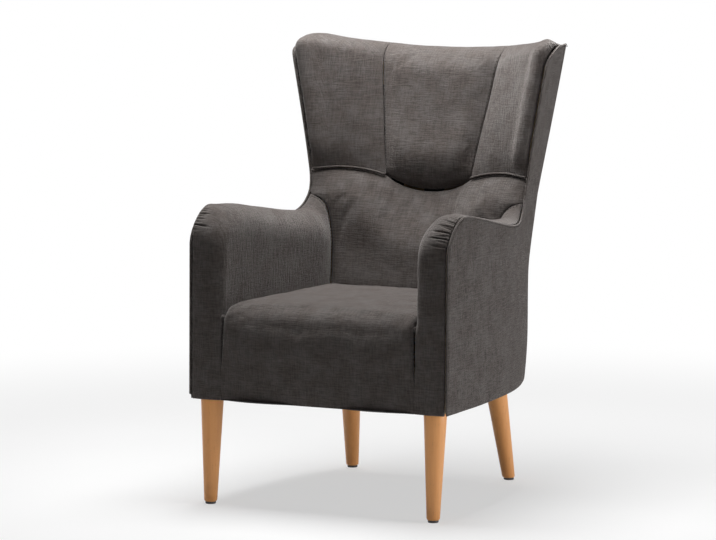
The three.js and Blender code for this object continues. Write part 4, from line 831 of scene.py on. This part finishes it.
def head_seam():
    """The seam between the middle panel and a wing, from the waist over the top to the back panel"""
    low = mix(HEAD_FOOT, HEAD_TOP, np.array([0.3, 0.24, 0.3]))
    high = mix(HEAD_FOOT, HEAD_TOP, np.array([0.68, 0.62, 0.66]))
    crest = (mix(HEAD_TOP[0], BACK_SEAM_X, 0.5), *CREST_OF_BACK)
    points = [HEAD_FOOT, low, high, HEAD_TOP, crest, back_seam_point(BACK_SEAM_X)]
    return line_through(points, [0, 0.15, 0.3, 0.46, 0.6, 0.71, 0.76, 0.81, 0.86, 0.91, 0.96, 1])


def shifted(line, x=0.0, y=0.0, z=0.0):
    return line + np.array([x, y, z])


def lower_back_grid(head, wing):
    """The lower back's cover, from the seat up to the waist seam, bulging between the arms"""
    half = SEAM_GAP / 2
    half_waist = np.concatenate([head, wing[1:]])
    waist = np.concatenate([other_side(half_waist)[::-1], half_waist[1:]])
    found = welt_places("dip", np.linspace(ARM_SEAM_SHARE, 1, 3))
    welt = np.array([(side_x(y, z) - WELT_DEPTH, y, z) for y, z, *way in found])
    seam = shifted(arm_seam(), y=FOLD_GAP)[::-1]
    side = np.concatenate([seam, shifted(welt[1:], z=-half)])
    top = shifted(waist, z=-half)
    side[-1] = top[-1]
    shares = np.linspace(-1, 1, len(top))
    foot = np.array([(share * side[0, 0], side[0, 1], side[0, 2]) for share in shares])
    surface = thin_plate(np.concatenate([foot, side[1:], other_side(side[1:]), top[1:-1]]))
    grid = patch(foot, top, other_side(side), side)
    up = np.linspace(0, 1, grid.shape[0])[:, None, None]
    across = np.abs(np.linspace(-1, 1, grid.shape[1]))[None, :, None]
    place = mix(mix(foot[None], top[None], up), grid, across)
    place[..., 1] = surface(place) - (14 * 4 * up * (1 - up) * (1 - across * across))[..., 0]
    grid[1:-1, 1:-1] = place[1:-1, 1:-1]
    return grid


def thin_plate(points):
    """A smooth Y over X and Z through the given points"""
    def parts(places):
        apart = ((places[..., None, [0, 2]] - points[:, [0, 2]]) ** 2).sum(axis=-1)
        bends = np.where(apart > 0, apart * np.log(np.maximum(apart, 1e-9)), 0)
        return np.concatenate([bends, np.ones((*places.shape[:-1], 1)), places[..., [0, 2]]], axis=-1)
    upper = parts(points)
    matrix = np.concatenate([upper, np.hstack([upper[:, -3:].T, np.zeros((3, 3))])])
    weights = np.linalg.solve(matrix, np.concatenate([points[:, 1], np.zeros(3)]))
    return lambda places: parts(places) @ weights


def head_grid(head, seam):
    """The upper back's middle panel, from its rounded foot up and over the top"""
    half = SEAM_GAP / 2
    side = shifted(seam, x=-half)
    foot = shifted(np.concatenate([other_side(head)[::-1], head[1:]]), z=half)
    foot[-1] = side[0] = foot[-1]
    foot[0] = other_side(side[0])
    top = np.array([back_seam_point(share * (BACK_SEAM_X - half)) for share in np.linspace(-1, 1, len(foot))])
    side[-1] = top[-1]
    grid = patch(foot, top, other_side(side), side)
    up = np.linspace(0, 1, grid.shape[0])[:, None]
    across = np.linspace(0, 1, grid.shape[1])[None]
    swell = np.sqrt(np.minimum(up / 0.12, 1)) * (1 - smooth(up, 0.1, 0.8) * 0.6) * (1 - smooth(up, 0.8, 1))
    grid[..., 1] -= 15 * swell * dome(across)
    return grid


def head_swell(grid, from_rows, from_columns):
    """The head pad's filling has settled: it is fullest a hand's breadth above its foot"""
    narrow = np.minimum(*from_columns)
    return 9 * np.exp(-((from_rows[0] - 82) / 52) ** 2) * smooth(narrow, 0, 60)


def lumbar_swell(grid, from_rows, from_columns):
    """The lower back is fullest a hand's breadth below the head pad"""
    narrow = np.minimum(*from_columns)
    return 12 * np.exp(-((from_rows[1] - 128) / 62) ** 2) * smooth(narrow, 10, 110)


def wing_grid(wing, seam):
    """A wing's cover, from the waist up, between the middle panel's seam and the welt"""
    half = SEAM_GAP / 2
    places = np.concatenate([welt_places("edge", [0, 0.22, 0.44, 0.66, 0.85, 1]),
                             welt_places("tip", [0.1, 0.19, 0.3, 0.5, 0.74, 0.97])])
    welt = np.array([(side_x(y, z) - WELT_DEPTH, y, z) for y, z, *way in places])
    inner = shifted(seam, x=half)
    foot = shifted(wing, z=half)
    foot[0] = inner[0]
    foot[-1] = welt[0]
    top = np.array([back_seam_point(mix(BACK_SEAM_X + half, welt[-1, 0], share)) for share in WING_COLUMNS])
    top[0] = inner[-1]
    top[-1] = welt[-1]
    grid = patch(foot, top, inner, welt)
    up = np.linspace(0, 1, len(grid))
    ends = np.minimum(np.minimum(up / 0.1, (1 - up) / 0.1), 1)
    fade = smooth(places[:, 0], SHOULDER_Y + 10, SHOULDER_Y + 170)
    full = mix(16, 28, smooth(places[:, 3], 0, 0.5)) * (1 - 0.65 * fade)
    raised = (full * ends)[:, None] * np.array([0, 0.12, 0.35, 0.7, 1, 0.85, 0])[None]
    grid[..., 1] += places[:, 2][:, None] * raised - 6 * dome(WING_COLUMNS)[None] * dome(up)[:, None]
    grid[..., 2] += places[:, 3][:, None] * raised
    return grid


def wing_swell(grid, from_rows, from_columns):
    """A wing's padding is fullest a little way in from its welt"""
    ends = smooth(from_rows[0], 0, 50) * smooth(from_rows[1], 40, 120)
    return 5 * ends * np.exp(-((from_columns[1] - 34) / 20) ** 2)


def add_back():
    head = waist_head()
    wing = waist_wing()
    seam = head_seam()
    lower_grid = fine(lower_back_grid(head, wing))
    outer, normals = add_stuffed_cover(
        "lower_back_upholstery", lower_grid, (0, -1, 0), (None, (38, 8), (4.5, 2.2), (4.5, 2.2)), 12, 1.2, 11.0,
        lumbar_swell, nodes=("lumbar_cover", "lumbar_pad"), swell=3.5, margins=(30, 30, 30, 30))
    low_z, high_z = SEAT_Z + 8, arm_seam()[0, 2] - 4
    for number, distance in ((1, 2.6), (2, 8.0)):
        add_side_stitches(f"back_stitches_{number}", lower_grid, outer, normals, distance, low_z, high_z)

    upper_grid = fine(head_grid(head, seam))
    outer, normals = add_stuffed_cover(
        "head_upholstery", upper_grid, (0, -1, 0), ((30, 14), (3, 2), (5, 2.2), (5, 2.2)), 17, 1.2, 21.0,
        head_swell, nodes=("head_cover", "head_pad"), swell=3, margins=(40, 110, 30, 30))
    add_side_stitches("head_stitches", upper_grid, outer, normals, 4.0, HEAD_FOOT[2] + 14, HEAD_TOP[2] + 8)

    side_grid = fine(wing_grid(wing, seam))
    outer, inner, normals = padded_form(
        side_grid, (-0.6, -1, 0), ((4, 2), (3, 2), (4, 1.8), (22, 6.5)), depth=11, uneven=1.2, seed=31.0,
        shape=wing_swell)
    outer[..., 2] -= 5 * smooth(outer[..., 2], CORNER_Z - 4, CORNER_Z + 22)

    def make(name, side):
        piece = closed_sheet(f"wing_upholstery_{name}", outer, inner, VELVET, side)
        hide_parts(f"wing_cover_{name}", f"wing_pad_{name}")
        dress(piece)
    add_pair(make)


def seat_grid():
    """The seat's cover, from its rear edge over the top and down the front to the hem"""
    radius = 36
    bulge = 8
    roll_side = 12
    rear = SEAT_BACK_Y - SEAM_GAP - 0.3
    front_top = SEAT_Z - radius
    edge = [(radius * (1 - math.sin(angle)) - bulge / 2, front_top + radius * math.cos(angle))
            for angle in (0, math.pi / 6, math.pi / 3, math.pi / 2)]
    profile = [(rear, FOOT_Z), (rear, SEAT_Z - roll_side), (rear - roll_side, SEAT_Z)]
    profile += [(share * rear, SEAT_Z) for share in (0.84, 0.66, 0.48, 0.3, 0.16)] + edge
    profile += [(-bulge * 0.9, mix(HEM_Z, front_top, 0.68)), (-bulge * 0.6, mix(HEM_Z, front_top, 0.34))]
    profile += [(0, HEM_Z)]
    profile = np.array(profile, float)
    sink_shares = [0.25, 0.6]
    wrap_shares = [0, 0.15, 0.5, 0.8]
    crown_height = 17
    crease = 6.5
    crown = [0, 0, 0.25, 0.75, 1, 1, 1, 0.85, 0.55, 0.35, 0.25, 0.2, 0.15, 0.08, 0]
    across = [-1, -1, -1, -1, -0.72, -0.48, -0.24, 0, 0.24, 0.48, 0.72, 1, 1, 1, 1]
    turns = [3, 2, 1, 0, 0, 0, 0, 0, 0, 0, 0, 0, 1, 2, 3]
    rows = []
    for r, (y, z) in enumerate(profile):
        before = profile[max(r - 1, 0)]
        after = profile[min(r + 1, len(profile) - 1)]
        way = np.array([after[1] - before[1], before[0] - after[0]])
        out = np.array([0, 1]) if r < len(sink_shares) else way / np.linalg.norm(way)
        low = z < front_top - 1 and y < radius
        roll = roll_side
        if low:
            roll = 0.5 + 3 * smooth(z, SPLIT_Z, SPLIT_Z + 38) + (roll_side - 3.5) * smooth(z, 390, front_top)
        row = []
        for share, turn in zip(across, turns):
            inset = (roll, 0.29 * roll, 0, 0)[turn]
            deep = 5 * roll if low else mix(2 * roll, SEAT_TUCK, smooth(y, 18, 2 * radius))
            drop = (0, 0.29 * roll, roll, max(deep, 1.2 * roll))[turn] * (sink_shares[r] if r < 2 else 1)
            rise = crown_height * crown[r] * (1 - 0.35 * share * share) - drop
            wrap = roll * wrap_shares[turn] if r < 2 else 0
            depth = y + out[0] * rise - wrap
            if low:
                flush = smooth(abs(share), 0.6, 1) * (1 - smooth(z, SPLIT_Z + 8, SPLIT_Z + 63))
                depth = mix(depth, depth - y + 1.5, flush)
            side = arm_inner(max(depth, 0)) - (0.05 if low else SEAM_GAP)
            if r > 6:
                side -= crease * smooth(z, SPLIT_Z + 6, SPLIT_Z + 40) * (1 - smooth(y, 14, 50))
            x = np.sign(share) * (side - inset) if turn or abs(share) == 1 else share * (side - roll)
            row.append((x, depth, z + out[1] * rise))
        rows.append(row)
    return np.array(rows, float)


def add_seat():
    add_stuffed_cover("seat_upholstery", fine(seat_grid()), (0, 0, 1), (), 9, 1.6, 41.0, None,
                      nodes=("seat_cover", "seat_pad"), swell=4, margins=(30, 120, 40, 40))


# Panels outside

def panel_grid():
    """The outside of the arm and wing, as lines from the welt to the rear edge"""
    places = welt_run({"line": 24, "corner": 20, "top": 30, "dip": 16, "edge": 22, "tip": 14}, 0.99)
    room = WELT_RADIUS + FOLD_GAP
    welt = places[:, :2] - places[:, 2:] * room
    welt[:, 1] = np.maximum(welt[:, 1], HEM_Z)
    run = run_along(places[:, :2])
    rear_z = np.interp(run / run[-1], [0, 0.26, 0.36, 0.6, 0.7, 0.86, 1],
                       [HEM_Z, 400, 455, 600, 720, 960, CORNER_Z - room])
    rear = np.column_stack([rear_y(rear_z) - SIDE_THICKNESS - CORNER_GAP, rear_z])
    shares = np.concatenate([[0, 0.003, 0.007, 0.013, 0.022], np.linspace(0.035, 0.965, 44),
                             [0.978, 0.987, 0.993, 0.997, 1]])
    flat = mix(welt[:, None], rear[:, None], shares[None, :, None])
    return np.dstack([side_x(flat[..., 0], flat[..., 1]), flat])


def add_side_panels():
    """The outside covers, pulled over the side boards"""
    grid = panel_grid()
    normals = normals_of(grid, (1, 0, 0))
    from_welt, from_rear = distances(grid, 1)
    from_hem = grid[..., 2] - HEM_Z
    from_rear_line = rear_y(grid[..., 2]) - SIDE_THICKNESS - CORNER_GAP - grid[..., 1]
    sink = edge_sink((from_welt, from_rear_line, from_hem), ((4, 1.6), (6, 1.8), (5, 1.6)))
    fade = smooth(np.minimum(from_welt, from_rear), 0, 40)
    wave = fade * (1.4 * unevenness(grid, 110, 51.0) + 0.5 * unevenness(grid, 40, 57.0))
    outer = grid + normals * (wave - sink)[..., None]
    inner = grid - np.array([SIDE_THICKNESS, 0, 0])

    def make(name, side):
        piece = closed_sheet(f"side_panel_{name}", outer, inner, OUTSIDE_VELVET_PAINTED_PILE_SHADE, side)
        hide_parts(f"outside_cover_{name}")
        dress(piece)
    add_pair(make)


def add_back_panel():
    """The cover behind the back, pulled over the posts and rails"""
    heights = np.concatenate([[0, 0.0015, 0.004, 0.008], np.linspace(0.014, 0.986, 110),
                              [0.992, 0.996, 0.9985, 1]])
    columns = np.concatenate([[-1, -0.995, -0.985, -0.97], np.linspace(-0.945, 0.945, 75),
                              [0.97, 0.985, 0.995, 1]])
    share, across = np.meshgrid(heights, columns, indexing="ij")
    edge_gap = 0.3
    edge_x = side_rear_x(mix(HEM_Z, CORNER_Z, share)) - edge_gap
    z = mix(HEM_Z, back_seam_point(across * edge_x)[2] - FOLD_GAP, share)
    x = across * (side_rear_x(z) - edge_gap)
    grid = np.stack([x, back_y(x, z), z], axis=-1)
    normals = normals_of(grid, (0, 1, 0))
    from_edges = (*distances(grid, 0), *distances(grid, 1))
    sink = edge_sink(from_edges, ((5, 2), (6, 3), (6, 1.8), (6, 1.8)))
    fade = smooth(np.minimum.reduce(from_edges), 0, 50)
    wave = fade * (1.6 * unevenness(grid, 120, 61.0) + 0.5 * unevenness(grid, 45, 67.0))
    outer = grid + normals * (wave - sink)[..., None]
    inner = grid - np.array([0, SIDE_THICKNESS, 0])
    piece = closed_sheet("back_panel", outer, inner, OUTSIDE_VELVET_PAINTED_PILE_SHADE)
    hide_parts("outside_back")
    dress(piece)


# Piping and stitches

def tube(points, radii, sides=12, turn=0.0):
    """Points of a tube round a line, with the side that each ring faces kept level"""
    ways = np.gradient(points, axis=0)
    ways /= np.linalg.norm(ways, axis=1, keepdims=True)
    helper = np.array([1.0, 0.0, 0.0])
    across = helper - ways * (ways @ helper)[:, None]
    across /= np.linalg.norm(across, axis=1, keepdims=True)
    up = np.cross(ways, across)
    angles = np.linspace(0, 2 * math.pi, sides, endpoint=False) + turn
    ring = across[:, None] * np.cos(angles)[None, :, None] + up[:, None] * np.sin(angles)[None, :, None]
    return points[:, None] + ring * np.asarray(radii)[:, None, None]


def tube_faces(rings, sides, skip=0):
    index = np.arange(rings * sides).reshape(rings, sides) + skip
    after = np.roll(index, -1, axis=1)
    return np.stack([index[:-1], after[:-1], after[1:], index[1:]], axis=-1).reshape(-1, 4).tolist()


def tube_ends(rings, sides, skip=0):
    first = list(range(skip, skip + sides))[::-1]
    last = list(range(skip + (rings - 1) * sides, skip + rings * sides))
    return [first, last]


def add_piping(name, points, nodes, side, sides):
    """Piping: a cord in a bias strip, with rounded cut ends and the strip's slight puckers"""
    radius = WELT_RADIUS
    dense = along(points, np.linspace(0, 1, int(run_along(points)[-1] / 2.5)))
    run = run_along(dense)
    ends = np.minimum(run, run[-1] - run)
    radii = radius * np.sqrt(np.clip(1 - (1 - np.clip(ends / radius, 0.08, 1)) ** 2, 0, 1))
    radii = radii * (1 + 0.03 * np.sin(run * 1.3) + 0.02 * np.sin(run * 0.37 + 1))
    faces = tube_faces(len(dense), sides) + tube_ends(len(dense), sides)
    piece = add_mesh(name, tube(dense, radii, sides).reshape(-1, 3), faces, PIPING_VELVET_PAINTED_HIGHLIGHT, side)
    if nodes:
        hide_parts(*nodes)
    dress(piece)


def add_welts():
    places = welt_run(dict.fromkeys(WELT_CURVES, 39), 0.985)
    places = places[places[:, 1] > HEM_Z + 1]
    points = np.column_stack([side_x(places[:, 0], places[:, 1]) - WELT_RADIUS + 0.6, places[:, :2]])
    add_pair(lambda name, side: add_piping(f"piping_{name}", points, [f"welt_{name}"], side, 14))


def add_waist_piping():
    points = shifted(line_through(waist_wing(), np.linspace(0.0, 0.985, 60)), y=-2.2)
    add_pair(lambda name, side: add_piping(f"waist_piping_{name}", points, [], side, 10))


def beside(grid, from_end, distance):
    """The line on a grid that runs a distance in from its last row"""
    return np.array([[np.interp(-distance, -from_end[:, c], grid[:, c, k]) for k in range(3)]
                     for c in range(grid.shape[1])])


def add_stitches(name, line, ways, side):
    """A row of stitches along a line, each dipping into the cloth at its ends; ways point out of the cloth"""
    length, pitch, radius = 5.0, 7.6, 0.8
    run = run_along(line)
    total = run[-1]
    run = run / total
    rings = sides = 6
    points = []
    faces = []
    for k in range(int(total / pitch)):
        shares = (k + 0.2) * pitch / total + np.linspace(0, length / total, rings)
        middle = np.column_stack([np.interp(shares, run, line[:, axis]) for axis in range(3)])
        way = np.column_stack([np.interp(shares, run, ways[:, axis]) for axis in range(3)])
        middle += way * (np.sin(np.linspace(0, math.pi, rings)) * 0.7 - 0.2)[:, None]
        radii = radius * (0.35 + 0.65 * np.sin(np.linspace(0.15, math.pi - 0.15, rings)))
        points.append(tube(middle, radii, sides).reshape(-1, 3))
        skip = k * rings * sides
        faces.extend(tube_faces(rings, sides, skip) + tube_ends(rings, sides, skip))
    dress(add_mesh(name, np.concatenate(points), faces, THREAD, side))


def add_seam_stitches(name, outer, normals, from_seam, distance, side, shows):
    """Stitches beside the seam at a cover's last row, where shows is true of the line they follow"""
    line = beside(outer, from_seam, distance)
    shown = np.flatnonzero(shows(line))
    add_stitches(name, line[shown], beside(normals, from_seam, distance)[shown], side)


def add_side_stitches(name, grid, outer, normals, distance, low_z, high_z):
    """Stitches beside both side seams of a cover in the middle of the back, between two heights"""
    from_seam = turned_over(distances(grid, 1)[1])
    add_pair(lambda side_name, side: add_seam_stitches(
        f"{name}_{side_name}", turned_over(outer), turned_over(normals), from_seam, distance, side,
        lambda line: (line[:, 2] > low_z) & (line[:, 2] < high_z)))


# Legs and underside

def add_turned(name, profile, foot, lean, finish, node, sides):
    """A turned piece about a leg's own axis, with level ends"""
    profile = np.array(profile, float)
    angles = np.linspace(0, 2 * math.pi, sides, endpoint=False)
    rings = np.empty((len(profile), sides, 3))
    for k, (radius, z) in enumerate(profile):
        rings[k, :, 0] = foot[0] + lean[0] * z + radius * np.cos(angles)
        rings[k, :, 1] = foot[1] + lean[1] * z + radius * np.sin(angles)
        rings[k, :, 2] = z
    faces = tube_faces(len(profile), sides) + tube_ends(len(profile), sides)
    piece = add_mesh(name, rings.reshape(-1, 3), faces, finish, sharp=40)
    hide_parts(node)
    dress(piece)


def add_legs():
    """Four tapered, raked legs with rounded rims, each on its glide"""
    body = [(mix(14.5, 26, z / LEG_TOP_Z), z) for z in np.linspace(9.5, LEG_TOP_Z - 2, 12)]
    leg = [(10.5, 5.3), (12.2, 5.5), (13.4, 6.3), (14.2, 7.6), *body,
           (25.4, LEG_TOP_Z - 0.6), (24.6, LEG_TOP_Z)]
    glide = [(8, 0), (10.8, 0.2), (11.7, 0.8), (12, 1.8), (12, 4.4), (11.6, 5.0)]
    for end, (top, foot) in LEGS.items():
        def make(name, side):
            place = (foot[0] * side, foot[1])
            lean = ((top[0] - foot[0]) / LEG_TOP_Z * side, (top[1] - foot[1]) / LEG_TOP_Z)
            corner = f"{end}_{name}"
            add_turned(f"turned_leg_{corner}", leg, place, lean, LEG_WOOD, f"leg_{corner}", 40)
            add_turned(f"leg_glide_{corner}", glide, place, lean, NYLON, f"glide_{corner}", 28)
        add_pair(make)


def add_lining():
    """The black lining under the seat, pulled round the legs and sagging a little between the rails"""
    centre = np.array([0.0, 290.0])
    inset = LINING_INSET
    outline = [(0, inset)]
    outline += [(side_x(y, HEM_Z) - inset, y) for y in np.linspace(inset, rear_y(HEM_Z) - inset, 40)]
    outline += [(x, back_y(x, HEM_Z) - inset) for x in np.linspace(side_rear_x(HEM_Z) - inset - 2, 0, 12)[1:]]
    outline = np.array(outline)
    angles = np.arctan2(outline[:, 1] - centre[1], outline[:, 0])
    reach = np.hypot(outline[:, 0], outline[:, 1] - centre[1])
    turns = np.linspace(-math.pi / 2, math.pi / 2, 181)
    radius = np.interp(turns, angles, reach)
    for places in LEGS.values():
        offset = np.array(places[0]) - centre
        distance = np.hypot(*offset)
        bearing = math.atan2(offset[1], offset[0])
        miss = distance * np.sin(turns - bearing)
        hit = np.abs(miss) < LEG_ROOM
        near = distance * np.cos(turns - bearing) - np.sqrt(np.maximum(LEG_ROOM ** 2 - miss ** 2, 0))
        radius = np.where(hit & (near < radius), near, radius)
    turns = np.concatenate([turns, math.pi - turns[::-1][1:]])
    radius = np.concatenate([radius, radius[::-1][1:]])
    shares = np.concatenate([[0.02], np.linspace(0.08, 0.97, 30), [0.985, 1]])
    x = shares[:, None] * radius[None] * np.cos(turns)[None]
    y = centre[1] + shares[:, None] * radius[None] * np.sin(turns)[None]
    sag = 1.4 * (1 - shares[:, None] ** 2) + 0.25 * np.sin(x / 23) * np.sin(y / 31)
    lower = np.stack([x, y, LINING_Z - sag], axis=-1)
    upper = lower + np.array([0, 0, 1.0])
    piece = closed_sheet("underside_lining", lower, upper, LINING)
    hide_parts("dust_cover")
    dress(piece)


FRAME_FINISHES = {
    "board": FRAME_WOOD, "rail": FRAME_WOOD, "post": FRAME_WOOD, "block": FRAME_WOOD, "web": WEBBING,
    "spring": SPRING_STEEL, "bolt": BOLT_STEEL}


def finish_frame():
    """Procedural materials for the frame's own solids, by a word in their names"""
    for name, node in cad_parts.items():
        finish = next((FRAME_FINISHES[word] for word in name.split("_") if word in FRAME_FINISHES), VELVET)
        for slot in node.material_slots:
            slot.material = finish


# Stage

def add_stage():
    """A pale floor that fades into a white surround"""
    paint = Paint(bpy.data.materials.new("studio_floor"), Specular_IOR_Level=0.2, Roughness=0.9)
    place = paint.place()
    spread = paint.node("ShaderNodeVectorMath", {"operation": "LENGTH"}, {0: paint.stretched(place, (1, 1, 0))})
    far = paint.between(Value(paint, spread.outputs["Value"]), 0.7, 2.6)
    paint.join(Base_Color=paint.blend(paint.noise(place, 3.0), (0.86, 0.86, 0.86, 1), (0.90, 0.90, 0.90, 1)))
    glow = paint.node("ShaderNodeEmission", None, {"Color": (1, 1, 1, 1), "Strength": 1.0})
    mixed = paint.node("ShaderNodeMixShader", None, {0: paint.seen_directly() * (0.55 + far * 0.45)})
    for start, end in ((paint.shader.outputs[0], mixed.inputs[1]), (glow.outputs[0], mixed.inputs[2]),
                       (mixed.outputs[0], paint.tree.nodes["Material Output"].inputs["Surface"])):
        paint.tree.links.new(start, end)
    sides = 96
    radius = 9
    points = [(0, 0, 0)] + [(radius * math.cos(angle), radius * math.sin(angle), 0)
                            for angle in np.linspace(0, 2 * math.pi, sides, endpoint=False)]
    mesh = bpy.data.meshes.new("studio_floor")
    mesh.from_pydata(points, [], [(0, k + 1, (k + 1) % sides + 1) for k in range(sides)])
    mesh.materials.append(paint.owner)
    add_object("studio_floor", mesh)

    world = bpy.data.worlds.new("studio")
    bpy.context.scene.world = world
    sky = Paint(world, "Background")
    seen = sky.seen_directly()
    sky.join(Color=sky.blend(seen, (0.95, 0.97, 1.0, 1), (1, 1, 1, 1)), Strength=0.03 + seen * 0.97)


def add_light(name, place, aim, size, power):
    """A rectangular softbox at a place, aimed at another, both in metres"""
    data = bpy.data.lights.new(name, "AREA")
    data.shape = "RECTANGLE"
    data.size, data.size_y = size
    data.energy = power
    light = add_object(name, data)
    light.location = place
    light.rotation_euler = (Vector(aim) - Vector(place)).to_track_quat("-Z", "Y").to_euler()


def add_camera():
    """The photograph's camera, from points of the chair that were matched with it"""
    right = Vector((0.9009, 0.4340, 0.0))
    up = Vector((-0.0504, 0.1047, 0.9932))
    back = Vector((0.4311, -0.8948, 0.1162))
    place = Matrix((right, up, back)).transposed().to_4x4()
    place.translation = (3.8082, -8.0638, 1.5504)
    data = bpy.data.cameras.new("camera")
    data.lens = 197.04
    data.sensor_width = 36
    camera = add_object("camera", data)
    camera.matrix_world = place
    bpy.context.scene.camera = camera


add_camera()
finish_frame()
add_arms()
add_back()
add_seat()
add_side_panels()
add_back_panel()
add_welts()
add_waist_piping()
add_legs()
add_lining()

add_stage()
add_light("overhead_softbox", (-0.14, 0.07, 2.0), (0, 0.1, 0.7), (1.2, 1.0), 54)
add_light("side_softbox", (2.8, 0.35, 0.55), (0.3, 0.05, 0.5), (1.6, 0.8), 33)
add_light("low_front", (1.6, -2.6, 0.25), (0, 0, 0.15), (1.6, 0.4), 3)

bpy.context.scene.view_settings.view_transform = "Standard"
